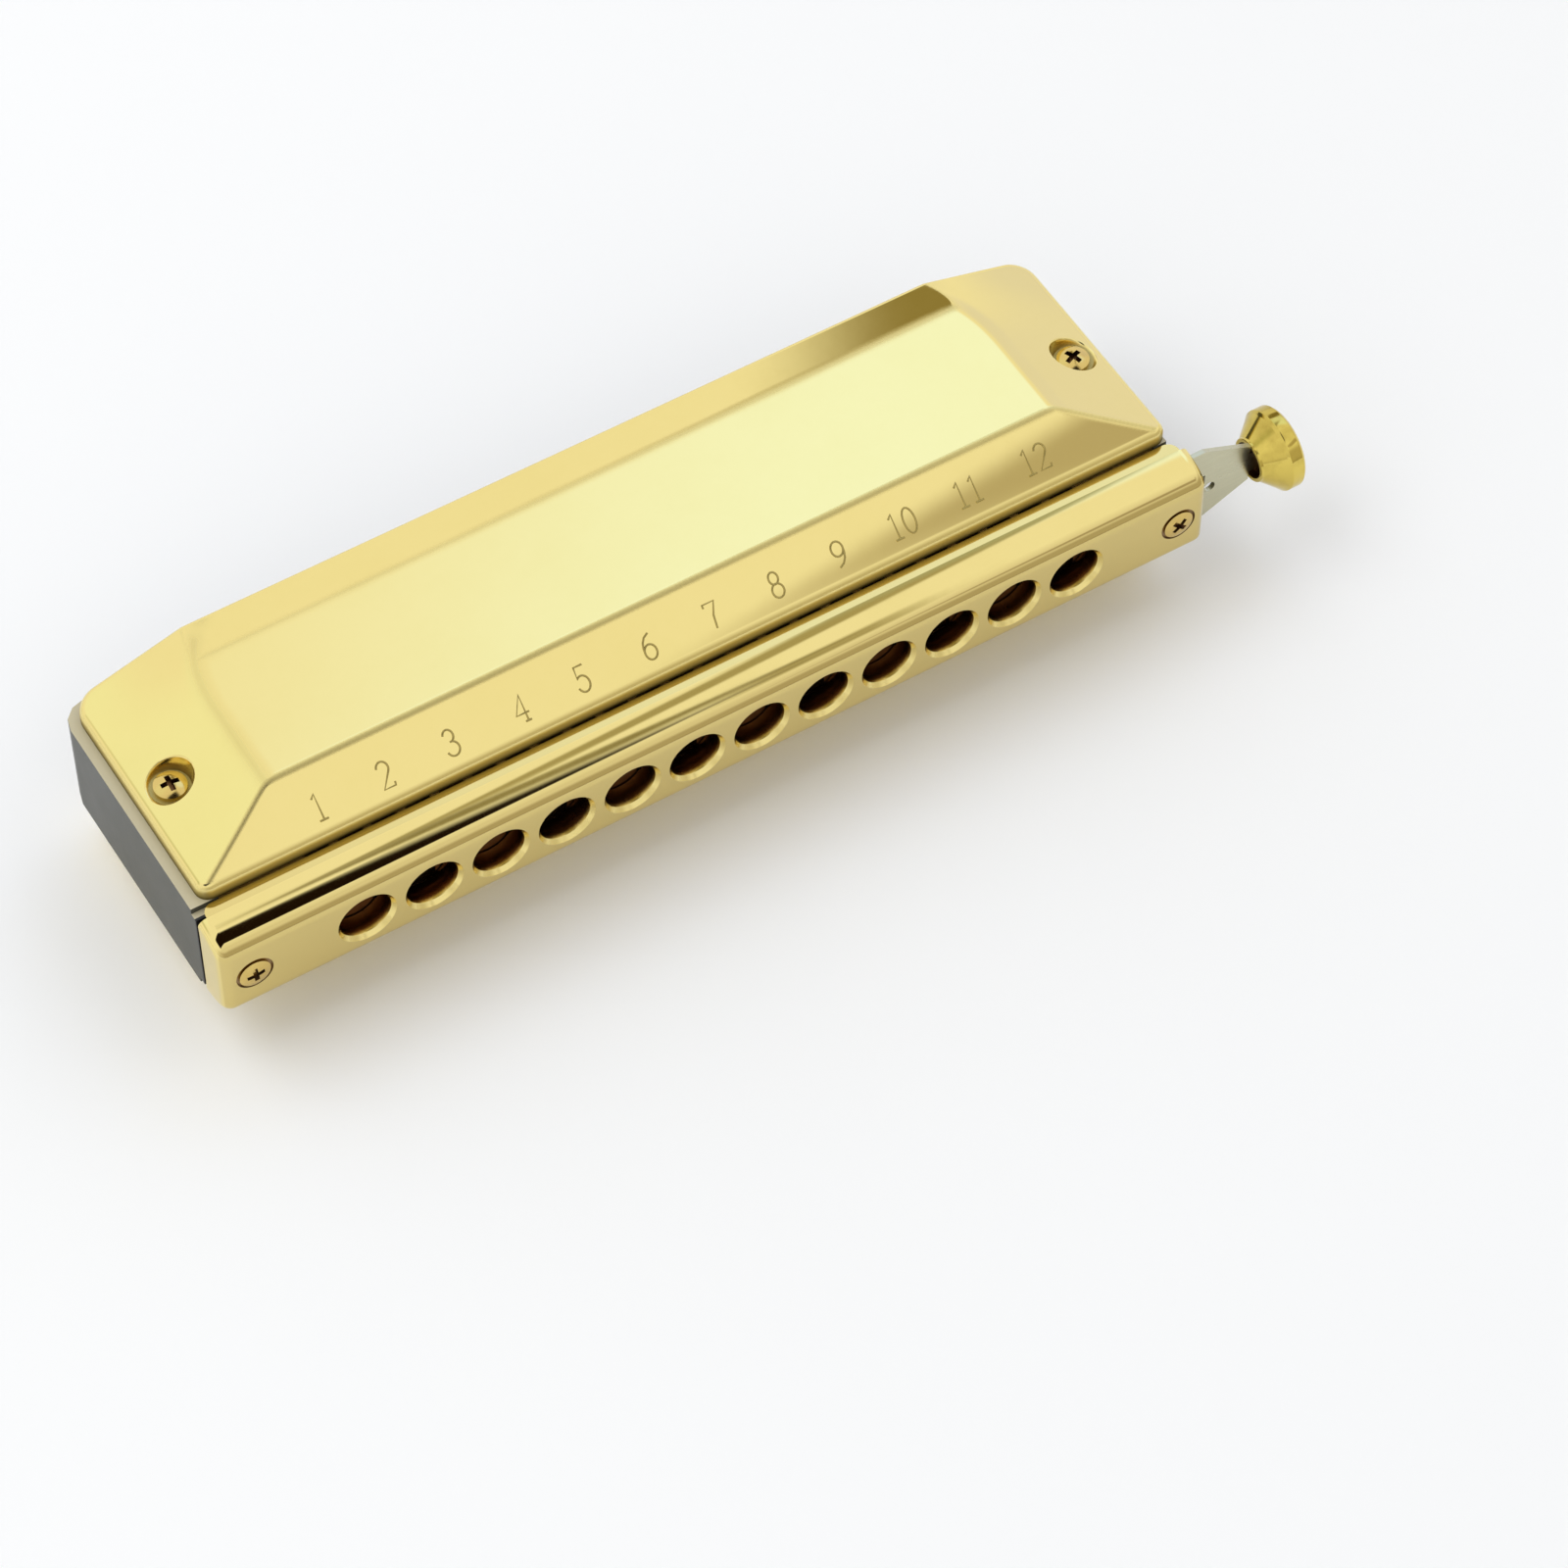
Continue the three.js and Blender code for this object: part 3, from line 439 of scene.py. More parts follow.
def round_corners(x, y):
    """Draws the grid's square corners into quarter circles, and gives the way out at each point."""
    edge_x = COVER_HALF - ROLL_ROOM
    middle = (COVER_FRONT + COVER_BACK) / 2
    edge_y = (COVER_BACK - COVER_FRONT) / 2 - ROLL_ROOM
    out_x, out_y = np.abs(x), np.abs(y - middle)
    radius = np.where(y < middle, CORNER_RADII["front"], CORNER_RADII["back"]) - ROLL_ROOM
    a, b = out_x - (edge_x - radius), out_y - (edge_y - radius)
    in_corner = (a > 0) & (b > 0)
    square = np.maximum(a, b)
    round_size = np.maximum(np.hypot(a, b), TINY)
    scale = np.where(in_corner, square / round_size, 1)
    new_x = np.where(in_corner, edge_x - radius + a * scale, out_x) * np.sign(x)
    new_y = middle + np.where(in_corner, edge_y - radius + b * scale, out_y) * np.sign(y - middle)
    on_end = out_x > edge_x - SLACK
    way = np.stack([np.where(on_end, 1.0, 0.0), np.where(on_end, 0.0, 1.0)], axis=-1)
    round_way = np.stack([a, b], axis=-1) / round_size[..., None]
    way = np.where(in_corner[..., None], round_way, way)
    return new_x, new_y, way * np.stack([np.sign(x), np.sign(y - middle)], axis=-1)


def border_of(grid):
    """The rows of a grid's four edges, once round."""
    return np.concatenate([grid[:-1, 0], grid[-1, :-1], grid[:0:-1, -1], grid[0, :0:-1]])


def cover_mesh(side, name):
    """A stamped cover with its rolled edge and its inner face; side is 1 above and -1 below."""
    lines_x, lines_y = cover_lines()
    x, y = np.meshgrid(lines_x, lines_y, indexing="ij")
    for end in ENDS:
        x, y = squares_to_circles(x, y, end * COVER_SCREW_X, COVER_SCREW_DEPTH, SEAT_ROUND, SEAT_SQUARE)
    x, y, way = round_corners(x, y)
    height = seated_height(x, y)
    facing = cover_facing(x, y, side)
    skin = Skin()
    outer = skin.add_points(place(x, y, side * height), cover_tarnish(x, y))
    skin.add_faces(outer, facing)
    inner = skin.add_points(place(x, y, side * (height - COVER_WALL)))
    skin.add_faces(inner, -facing)

    edge_x, edge_y, out = border_of(x), border_of(y), border_of(way)
    low = cover_height(edge_x + out[:, 0] * ROLL_ROOM, edge_y + out[:, 1] * ROLL_ROOM)
    slope = np.arctan((cover_height(edge_x, edge_y) - low) / ROLL_ROOM)
    radius = np.minimum(ROLL_RADIUS, ROLL_FIT * ROLL_ROOM / (1 - np.sin(slope)))
    tangent_room = radius * (1 - np.sin(slope))
    centre = low + tangent_room * np.tan(slope) - radius * np.cos(slope)

    def outward(room, height):
        return place(edge_x + out[:, 0] * room, edge_y + out[:, 1] * room, side * height)

    flat_out = np.concatenate([out, np.zeros((len(out), 1))], axis=1)
    up = np.array([0, 0, side])
    rings, ways = [border_of(outer)], [border_of(facing)]
    for step in range(1, ROLL_STEPS + 1):
        angle = (math.pi / 2 - slope) * (1 - step / ROLL_STEPS)
        room = ROLL_ROOM - radius * (1 - np.cos(angle))
        ring = outward(room, centre + radius * np.sin(angle))
        # Painted shade deepens down the rolled edge and is full at its foot: the shadow in the gap under the
        # cover.
        rings.append(skin.add_points(ring, PAINTED_SHADE["roll"] * step / ROLL_STEPS))
        ways.append(flat_out * np.cos(angle)[:, None] + up * np.sin(angle)[:, None])

    at_back = (out[:, 1] > 0.5).astype(float)
    foot_share = at_back * (1 - smooth_share(np.abs(edge_x), RIM_HALF - RIM_ENDS[0], RIM_HALF + RIM_ENDS[1]))
    foot = COVER_FOOT + (RIM_FOOT - COVER_FOOT) * foot_share
    # The foot of the rolled edge is in full painted shade.
    outer_foot = skin.add_points(outward(ROLL_ROOM, foot), 1.0)
    rings.append(outer_foot)
    ways.append(flat_out)
    skin.add_strip(rings, ways)
    inner_foot = skin.add_points(outward(0, foot))
    down = np.tile(-up.astype(float), (len(edge_x), 1))
    skin.add_strip([outer_foot, inner_foot], [down, down])
    skin.add_strip([inner_foot, border_of(inner)], [-flat_out, -flat_out])
    return skin.mesh(name)


# Mouthpiece

END_ROLL_DEPTH = 1.4
END_ROLL_HEIGHT = 1.1
END_ROLL_STEPS = 7
END_ROLL_LEAD = 0.1
ROUND_STEPS = 18
BORE_RINGS = (0, 0.6, 1.2, 1.8, 2.4, 3.0)
BORE_SLACK = 1e-4
LIP_TURNS = range(0, 91, 15)
FLAT_MARGIN = 0.25
RAIL_SPACING = 3.0
SINK_RADIUS = 2.5
SINK_DEPTH = 0.28
SINK_SIDES = 48

# A bore's finish starts one margin behind the face, and a socket's reaches one margin past its radius.
FINISH_MARGIN = 0.02
SINK_START = 0.03
BACK_FACING = 0.9


def hole_x(hole):
    return (hole - (HOLE_COUNT - 1) / 2) * HOLE_PITCH


def nearest_hole_x(x):
    return hole_x(np.clip(np.round(x / HOLE_PITCH + (HOLE_COUNT - 1) / 2), 0, HOLE_COUNT - 1))


def hole_marks():
    """Rings of the grid round a hole, out to the edge of the rail's flat face."""
    lip = [HOLE_RADIUS + HOLE_LIP * (1 - math.sin(math.radians(turn))) for turn in LIP_TURNS]
    return np.array([*BORE_RINGS, *lip, MOUTHPIECE_FLAT - FLAT_MARGIN, MOUTHPIECE_FLAT])


def rail_lines(marks):
    """Places of the rail's cross sections along X, and how far each has rolled in at the ends."""
    lines = [hole_x(hole) + side * mark for hole in range(HOLE_COUNT) for side in ENDS for mark in marks]
    roll_start = MOUTHPIECE_HALF - END_ROLL_DEPTH
    lines += [side * (roll_start - back) for side in ENDS for back in (0, END_ROLL_LEAD)]
    middle = fill_lines(lines, lambda x: RAIL_SPACING)
    turns = [math.pi / 2 * (k + 1) / END_ROLL_STEPS for k in range(END_ROLL_STEPS)]
    right = [roll_start + END_ROLL_DEPTH * math.sin(turn) for turn in turns]
    shares = [1 - math.cos(turn) for turn in turns]
    lines = np.array([-x for x in reversed(right)] + list(middle) + right)
    return lines, np.array(list(reversed(shares)) + [0] * len(middle) + shares)


def rail_outline(flat):
    """The cross section's front from bottom to top, the way out at each corner and the first flat one."""
    turn = math.acos(1 - MOUTHPIECE_BACK / MOUTHPIECE_ROUND_DEPTH)
    round_height = MOUTHPIECE_EDGE - MOUTHPIECE_FLAT
    upper = []
    for step in range(1, ROUND_STEPS + 1):
        across, up = math.cos(turn * step / ROUND_STEPS), math.sin(turn * step / ROUND_STEPS)
        depth, height = MOUTHPIECE_ROUND_DEPTH * (1 - across), MOUTHPIECE_FLAT + round_height * up
        upper.append((depth, height, -across * round_height, up * MOUTHPIECE_ROUND_DEPTH))
    outline = [(depth, -height, way, -rise) for depth, height, way, rise in reversed(upper)]
    outline += [(0, height, -1, 0) for height in flat]
    outline = np.array(outline + upper, float)
    way = outline[:, 2:] / np.linalg.norm(outline[:, 2:], axis=1, keepdims=True)
    return outline[:, :2], way, len(upper)


def mouthpiece_body():
    """The rail with its twelve bores, closed at the back."""
    marks = hole_marks()
    flat = np.unique(np.round(np.concatenate([marks, -marks]), DECIMALS))
    lines_x, roll = rail_lines(marks)
    outline, way, bottom = rail_outline(flat)
    top = bottom + len(flat) - 1

    x, depth = np.meshgrid(lines_x, outline[:, 0], indexing="ij")
    height = np.broadcast_to(outline[:, 1], x.shape).copy()
    depth = depth - roll[:, None] * END_ROLL_DEPTH * way[:, 0]
    height = height - roll[:, None] * END_ROLL_HEIGHT * way[:, 1]
    for hole in range(HOLE_COUNT):
        x, height = squares_to_circles(
            x, height, hole_x(hole), 0, HOLE_RADIUS + HOLE_LIP, MOUTHPIECE_FLAT
        )
    away = np.hypot(x - nearest_hole_x(x), height)
    on_flat = np.abs(height) < MOUTHPIECE_FLAT - FLAT_MARGIN
    lip = np.clip(1 - (away - HOLE_RADIUS) / HOLE_LIP, 0, 1)
    depth = np.where(on_flat, depth + HOLE_LIP_DEPTH * lip, depth)

    grid_x, grid_height = np.meshgrid(lines_x, flat, indexing="ij")
    reach = np.maximum(np.abs(grid_x - nearest_hole_x(grid_x)), np.abs(grid_height))
    corners = [reach[:-1, :-1], reach[1:, :-1], reach[1:, 1:], reach[:-1, 1:]]
    open_cells = np.max(corners, axis=0) < HOLE_RADIUS + BORE_SLACK

    points, faces = [], []

    def add(grid):
        start = len(points)
        points.extend(map(tuple, grid.reshape(-1, 3)))
        return start + np.arange(grid.shape[0] * grid.shape[1]).reshape(grid.shape[:2])

    flat_rows = slice(bottom, top + 1)
    front = add(place(x, depth, height))
    back = front.copy()
    back[:, flat_rows] = add(place(x[:, flat_rows], MOUTHPIECE_BACK, height[:, flat_rows]))
    keep = np.ones((len(lines_x) - 1, len(outline) - 1), bool)
    keep[:, bottom:top] = ~open_cells
    for i, j in zip(*np.nonzero(keep)):
        faces.append((front[i, j], front[i + 1, j], front[i + 1, j + 1], front[i, j + 1]))
    for i, j in zip(*np.nonzero(~open_cells)):
        k = bottom + j
        faces.append((back[i, k], back[i, k + 1], back[i + 1, k + 1], back[i + 1, k]))
    for i in range(len(lines_x) - 1):
        faces.append((back[i, top], front[i, -1], front[i + 1, -1], back[i + 1, top]))
        faces.append((front[i, 0], back[i, bottom], back[i + 1, bottom], front[i + 1, 0]))
    for i, j in zip(*np.nonzero(open_cells)):
        k = bottom + j
        sides = {
            (i - 1, j): (i, k, i, k + 1),
            (i + 1, j): (i + 1, k + 1, i + 1, k),
            (i, j - 1): (i + 1, k, i, k),
            (i, j + 1): (i, k + 1, i + 1, k + 1),
        }
        for (ni, nj), (a, b, c, d) in sides.items():
            if not open_cells[ni, nj]:
                faces.append((front[c, d], front[a, b], back[a, b], back[c, d]))
    for i, flip in ((0, True), (len(lines_x) - 1, False)):
        loop = [front[i, j] for j in range(len(outline))]
        loop += [back[i, k] for k in range(top, bottom - 1, -1)]
        faces.append(tuple(loop if flip else reversed(loop)))
    mesh = new_mesh("rail", points, [tuple(int(v) for v in f) for f in faces])
    mesh.validate()
    return mesh


def mouthpiece_mesh():
    """The rail with the slide's pocket and the two sockets cut in, each part with its own finish."""
    low = place(POCKET_LEFT, POCKET_FRONT, -POCKET_HALF)
    high = place(MOUTHPIECE_HALF + CUT_OVER, MOUTHPIECE_BACK + CUT_OVER, POCKET_HALF)
    body = cut_mesh(mouthpiece_body(), box_mesh(low, high), "mouthpiece_skin")
    sink = [(0, -SINK_DEPTH), (SINK_RADIUS, -SINK_DEPTH), (SINK_RADIUS, CUT_OVER), (0, CUT_OVER)]
    for end in ENDS:
        spot = Matrix.Translation((end * MOUTH_SCREW_X, FACE, MIDDLE))
        tool = turned_mesh("sink", sink, SINK_SIDES, spot @ Matrix.Rotation(math.pi / 2, 4, "X"))
        body = cut_mesh(body, tool, "mouthpiece_skin")
    shade_by_angle(body, SHARP["rail"])
    # The bores, the back and the sockets are finished in painted shade.
    finish_faces(body, (GOLD_RAIL, BORE_GOLD_IN_SHADE, BRASS_IN_SHADE), mouthpiece_finish)
    return body


def mouthpiece_finish(face, x, depth, height):
    """0 for the plated outside, 1 for the bores and the back in painted shade, 2 for the sockets in painted
    shade.
    """
    behind = depth - FACE
    in_bore = math.hypot(x - nearest_hole_x(x), height - MIDDLE) < HOLE_RADIUS + HOLE_LIP
    in_sink = math.hypot(abs(x) - MOUTH_SCREW_X, height - MIDDLE) < SINK_RADIUS + FINISH_MARGIN
    if in_sink and behind > SINK_START:
        return 2
    return int(in_bore and behind > FINISH_MARGIN or face.normal.y > BACK_FACING)


def lip_mesh(side):
    """A tongue at the back edge of the rail, with rounded corners."""
    outline = [(-LIP_HALF, MOUTHPIECE_BACK)]
    for end in ENDS:
        for step in range(LIP_STEPS + 1):
            turn = math.pi / 2 * step / LIP_STEPS
            ways = (math.cos(turn), math.sin(turn))
            out, back = ways if end < 0 else reversed(ways)
            x = end * (LIP_HALF - LIP_CORNER * (1 - out))
            outline.append((x, LIP_BACK - LIP_CORNER * (1 - back)))
    outline.append((LIP_HALF, MOUTHPIECE_BACK))
    turn = math.acos(1 - MOUTHPIECE_BACK / MOUTHPIECE_ROUND_DEPTH)
    top = MOUTHPIECE_FLAT + (MOUTHPIECE_EDGE - MOUTHPIECE_FLAT) * math.sin(turn)
    return plate_mesh(outline, side * (top - LIP_THICKNESS), side * top)


# Screws and button

HEAD_RADIUS = 2.1
HEAD_SUNK = 0.3
HEAD_RINGS = 10
HEAD_SIDES = 64
COVER_HEAD = {"thickness": 1.1, "crown": 0.5, "cross_depth": 0.9}
MOUTH_HEAD = {"thickness": 0.42, "crown": 0.3, "cross_depth": 0.68}
CROSS_WIDTH = 0.72
CROSS_REACH = 1.3
CROSS_TAPER = 0.72
CROSS_OVER = 0.2
CROSS_SKIN = 0.06
HEAD_FLOOR = 0.01


def screw_mesh(name, thickness, crown, cross_depth, matrix):
    """A domed head that stands up from 0, with a tapered cross recess."""
    dome = (HEAD_RADIUS**2 + crown**2) / (2 * crown)

    def dome_height(away):
        return thickness - crown + math.sqrt(dome**2 - away**2) - (dome - crown)

    profile = [(0, -HEAD_SUNK), (HEAD_RADIUS, -HEAD_SUNK), (HEAD_RADIUS, thickness - crown)]
    for ring in range(HEAD_RINGS - 1, 0, -1):
        away = HEAD_RADIUS * ring / HEAD_RINGS
        profile.append((away, dome_height(away)))
    profile.append((0, thickness))
    body = turned_mesh(name + "_head", profile, HEAD_SIDES, Matrix.Identity(4))
    floor, over, half = thickness - cross_depth, thickness + CROSS_OVER, CROSS_WIDTH / 2
    for x, y in ((CROSS_REACH, half), (half, CROSS_REACH)):
        tool = box_mesh((-x, -y, floor), (x, y, over), CROSS_TAPER)
        tool.transform(Matrix.Scale(MM, 4))
        body = cut_mesh(body, tool, name)

    def finish(face, x, y, z):
        """0 for the head's outside, 1 for the walls and floor of the cross, in painted shade."""
        away = math.hypot(x, y)
        return int(away < CROSS_REACH and HEAD_FLOOR < z < dome_height(away) - CROSS_SKIN)

    finish_faces(body, (SCREW_BRASS, RECESS_SHADE_BRASS), finish)
    body.transform(matrix)
    shade_by_angle(body, SHARP["head"])
    return body


BUTTON_NECK = 79.3
BUTTON_END = 84.5
BUTTON_DEPTH = 4.0
BUTTON_SIDES = 128
RECESS_RADIUS = 2.5
RECESS_DEPTH = 1.2

# The button's outline as radius and place along X, then the radius of each inner corner's arc.
BUTTON_OUTLINE = [
    (0, BUTTON_NECK + RECESS_DEPTH), (RECESS_RADIUS, BUTTON_NECK + RECESS_DEPTH),
    (RECESS_RADIUS, BUTTON_NECK), (3.05, BUTTON_NECK), (3.05, BUTTON_NECK + 0.35),
    (5.25, 82.1), (5.62, 82.45), (5.62, 84.1), (5.2, BUTTON_END), (0, BUTTON_END),
]
BUTTON_ARCS = [0.1, 0.08, 0.12, 0.1, 0.35, 0.2, 0.25, 0.2]


def button_mesh():
    """The turned button, with its axis along X and a recess for the blade."""
    lay_down = Matrix(((0, 0, 1, 0), (0, 1, 0, BUTTON_DEPTH + FACE), (-1, 0, 0, MIDDLE), (0, 0, 0, 1)))
    profile = rounded_profile(BUTTON_OUTLINE, BUTTON_ARCS)
    mesh = turned_mesh("button_turned", profile, BUTTON_SIDES, lay_down, "button")

    def finish(face, x, depth, height):
        """0 for the outside, 1 for the recess, in painted shade."""
        away = math.hypot(depth - FACE - BUTTON_DEPTH, height - MIDDLE)
        return int(away < RECESS_RADIUS + FINISH_MARGIN and x < BUTTON_NECK + RECESS_DEPTH + FINISH_MARGIN)

    finish_faces(mesh, (BRASS, RECESS_SHADE_BRASS), finish)
    return mesh


SPRING_CENTRE = Vector((64.6, 16.3))
SPRING_TIP = Vector((73.1, 4.65))
SPRING_RADIUS = 2.0
SPRING_RISE = 0.9
SPRING_DROP = 1.0
SPRING_TURNS = 2
SPRING_STEPS = 24
SPRING_TAIL = 2.0
SPRING_HOOK = 0.8
SPRING_WIRE = 0.4
SPRING_ROUNDNESS = 3


def wire_curve(name, strokes, thickness, roundness):
    """Round wire along each of the strokes, which are lists of points in metres."""
    curve = bpy.data.curves.new(name, "CURVE")
    curve.dimensions = "3D"
    curve.bevel_depth = thickness * MM
    curve.bevel_resolution = roundness
    curve.use_fill_caps = True
    for stroke in strokes:
        line = curve.splines.new("POLY")
        line.points.add(len(stroke) - 1)
        for point, spot in zip(line.points, stroke):
            point.co = (*spot, 1)
    return curve


def spring_curve():
    """Two turns of wire in the comb's pocket and an arm to the hole in the slide."""
    to_tip = SPRING_TIP - SPRING_CENTRE
    arm = math.sqrt(to_tip.length_squared - SPRING_RADIUS**2)
    leave = math.atan2(to_tip.y, to_tip.x) + math.atan2(arm, SPRING_RADIUS)
    start = leave - 2 * math.pi * SPRING_TURNS
    tangent = Vector((-math.sin(start), math.cos(start)))
    first = SPRING_CENTRE + SPRING_RADIUS * Vector((math.cos(start), math.sin(start)))
    points = [(*(first - tangent * SPRING_TAIL), SPRING_RISE - SPRING_DROP)]
    count = SPRING_TURNS * SPRING_STEPS
    for step in range(count + 1):
        share = step / count
        angle = leave - 2 * math.pi * SPRING_TURNS * (1 - share)
        spot = SPRING_CENTRE + SPRING_RADIUS * Vector((math.cos(angle), math.sin(angle)))
        points.append((*spot, SPRING_RISE - 2 * SPRING_RISE * share - SPRING_DROP))
    points.append((SPRING_TIP.x, SPRING_TIP.y + SPRING_HOOK, -SPRING_DROP))
    points.append((SPRING_TIP.x, SPRING_TIP.y, -SPRING_DROP))
    return wire_curve("spring_wire", [[place(*point) for point in points]], SPRING_WIRE, SPRING_ROUNDNESS)


# Numbers over the holes, raised on the upper cover's front bevel

NUMBER_X = (-51.1, -42.1, -33.0, -23.4, -14.8, -5.4, 3.7, 12.7, 21.8, 31.0, 40.6, 50.5)
NUMBER_SIZE = 3.3
NUMBER_STEP = 0.62
NUMBER_WIDTH = 0.55
NUMBER_WIRE = 0.14
NUMBER_ROUNDNESS = 2
NUMBER_LEVEL = (0.38, 0.07)


def arc(x, y, wide, high, first, last, steps=20):
    angles = [math.radians(first + (last - first) * k / steps) for k in range(steps + 1)]
    return [(x + wide * math.cos(a), y + high * math.sin(a)) for a in angles]


def turned_over(strokes):
    return [[(NUMBER_WIDTH - x, 1 - y) for x, y in stroke] for stroke in strokes]


SIX = [
    arc(0.275, 0.29, 0.24, 0.29, 0, 360),
    [(0.035, 0.3), (0.05, 0.5), (0.11, 0.7), (0.23, 0.87), (0.43, 0.98)],
]
DIGITS = {
    "0": [arc(0.275, 0.5, 0.24, 0.5, 0, 360)],
    "1": [[(0.12, 0.84), (0.275, 1), (0.275, 0)], [(0.1, 0), (0.45, 0)]],
    "2": [arc(0.275, 0.74, 0.23, 0.26, 170, -35) + [(0.04, 0), (0.5, 0), (0.52, 0.14)]],
    "3": [arc(0.26, 0.76, 0.2, 0.24, 165, -90) + arc(0.26, 0.27, 0.25, 0.27, 90, -165)],
    "4": [[(0.54, 0.3), (0.02, 0.3), (0.4, 1), (0.4, 0)], [(0.28, 0), (0.52, 0)]],
    "5": [[(0.48, 1), (0.13, 1), (0.1, 0.55)] + arc(0.26, 0.32, 0.25, 0.31, 125, -160)],
    "6": SIX,
    "7": [[(0.03, 0.86), (0.03, 1), (0.52, 1), (0.3, 0.5), (0.24, 0)]],
    "8": [arc(0.275, 0.76, 0.19, 0.24, 0, 360), arc(0.275, 0.27, 0.24, 0.27, 0, 360)],
    "9": turned_over(SIX),
}


def number_curve(text, x):
    """Raised strokes of a number that follow the bevel, a little higher up it towards the right."""
    rise, run = COVER_CREST - COVER_BEND, PANEL_FRONT - COVER_FRONT
    flat_share = run / math.hypot(rise, run)
    share = NUMBER_LEVEL[0] + NUMBER_LEVEL[1] * (x - NUMBER_X[0]) / (NUMBER_X[-1] - NUMBER_X[0])
    wide = NUMBER_STEP * (len(text) - 1) + NUMBER_WIDTH
    strokes = []
    for step, digit in enumerate(text):
        for stroke in DIGITS[digit]:
            spots = (np.array(stroke) + [step * NUMBER_STEP - wide / 2, -0.5]) * NUMBER_SIZE
            along, depth = x + spots[:, 0], COVER_FRONT + run * share + spots[:, 1] * flat_share
            strokes.append(place(along, depth, cover_height(along, depth)))
    return wire_curve("number_" + text, strokes, NUMBER_WIRE, NUMBER_ROUNDNESS)


# Shared effects for the finishes

def new_group(name, inputs, outputs):
    group = bpy.data.node_groups.new(name, "ShaderNodeTree")
    for label, value in inputs.items():
        kind = {tuple: "NodeSocketColor", Vector: "NodeSocketVector"}.get(type(value), "NodeSocketFloat")
        socket = group.interface.new_socket(label, in_out="INPUT", socket_type=kind)
        socket.default_value = value
    for label, kind in outputs.items():
        group.interface.new_socket(label, in_out="OUTPUT", socket_type="NodeSocket" + kind)
    return group, group.nodes.new("NodeGroupInput"), group.nodes.new("NodeGroupOutput")


def feed(tree, node, **inputs):
    """Links or sets a node's inputs by label, with _ for a space, or by number, such as i0."""
    for label, value in inputs.items():
        label = label.replace("_", " ")
        socket = node.inputs[int(label[1:])] if label[1:].isdigit() else node.inputs[label]
        if isinstance(value, bpy.types.NodeSocket):
            tree.links.new(value, socket)
        else:
            socket.default_value = value
    return node


def add_node(tree, kind, settings=None, **inputs):
    node = tree.nodes.new("ShaderNode" + kind)
    for label, value in (settings or {}).items():
        setattr(node, label, value)
    return feed(tree, node, **inputs)


def math_node(tree, operation, a, b=0.5, c=0.5):
    return add_node(tree, "Math", {"operation": operation}, i0=a, i1=b, i2=c).outputs[0]


def ramp(tree, value, low, high, first=0.0, last=1.0, way="LINEAR"):
    """Runs from the first value at low to the last at high, and stays there beyond."""
    ends = {"From_Min": low, "From_Max": high, "To_Min": first, "To_Max": last}
    return add_node(tree, "MapRange", {"interpolation_type": way}, Value=value, **ends).outputs[0]


def noise(tree, spot, scale, detail):
    return add_node(tree, "TexNoise", Vector=spot, Scale=scale, Detail=detail).outputs[0]


def object_place(tree):
    return tree.nodes.new("ShaderNodeTexCoord").outputs["Object"]


def split(tree, vector):
    return add_node(tree, "SeparateXYZ", Vector=vector).outputs


def way_faced(tree):
    return split(tree, tree.nodes.new("ShaderNodeNewGeometry").outputs["Normal"])


# How much finer and fainter the smudges' second noise is, how much coarser the blotches are than the
# grain, and the levels of noise between which a mask rises.
SMUDGE_FINER = 9.0
SMUDGE_FAINTER = 0.35
SMUDGE_LEVELS = (0.55, 0.95)
LINE_LEVELS = (0.35, 0.75)
BLOTCH_COARSER = 0.12


def smudge_group():
    """Faint fingermarks and wiping: a mask from 0 to 1 and a slow swell of the surface."""
    group, entry, leave = new_group(
        "smudges", {"Scale": 60.0, "Amount": 0.5}, {"Mask": "Float", "Swell": "Float"}
    )
    spot = object_place(group)
    cloud = noise(group, spot, entry.outputs["Scale"], 4.0)
    fine_scale = math_node(group, "MULTIPLY", entry.outputs["Scale"], SMUDGE_FINER)
    fine = noise(group, spot, fine_scale, 3.0)
    mixed = math_node(group, "MULTIPLY_ADD", fine, SMUDGE_FAINTER, cloud)
    mask = math_node(group, "MULTIPLY", ramp(group, mixed, *SMUDGE_LEVELS), entry.outputs["Amount"])
    feed(group, leave, Mask=mask, Swell=cloud)
    return group


def scratch_group():
    """Fine lines along X, as left by polishing, rolling or grinding."""
    group, entry, leave = new_group(
        "fine_lines", {"Length": 40.0, "Fineness": 4000.0}, {"Height": "Float", "Mask": "Float"}
    )
    parts = split(group, object_place(group))
    scales = [entry.outputs[label] for label in ("Length", "Fineness", "Fineness")]
    x, y, z = (math_node(group, "MULTIPLY", part, scale) for part, scale in zip(parts, scales))
    stretched = add_node(group, "CombineXYZ", X=x, Y=y, Z=z).outputs[0]
    lines = noise(group, stretched, 1.0, 3.0)
    feed(group, leave, Height=lines, Mask=ramp(group, lines, *LINE_LEVELS))
    return group


def grain_group():
    """Fine moulded grain with slow blotches."""
    group, entry, leave = new_group(
        "moulded_grain", {"Scale": 900.0}, {"Height": "Float", "Blotch": "Float"}
    )
    spot = object_place(group)
    grain = noise(group, spot, entry.outputs["Scale"], 2.0)
    blotch_scale = math_node(group, "MULTIPLY", entry.outputs["Scale"], BLOTCH_COARSER)
    blotch = noise(group, spot, blotch_scale, 4.0)
    feed(group, leave, Height=grain, Blotch=blotch)
    return group


GROUPS = {"smudges": smudge_group(), "fine_lines": scratch_group(), "moulded_grain": grain_group()}


def use_group(tree, name, **inputs):
    node = tree.nodes.new("ShaderNodeGroup")
    node.node_tree = GROUPS[name]
    return feed(tree, node, **inputs)


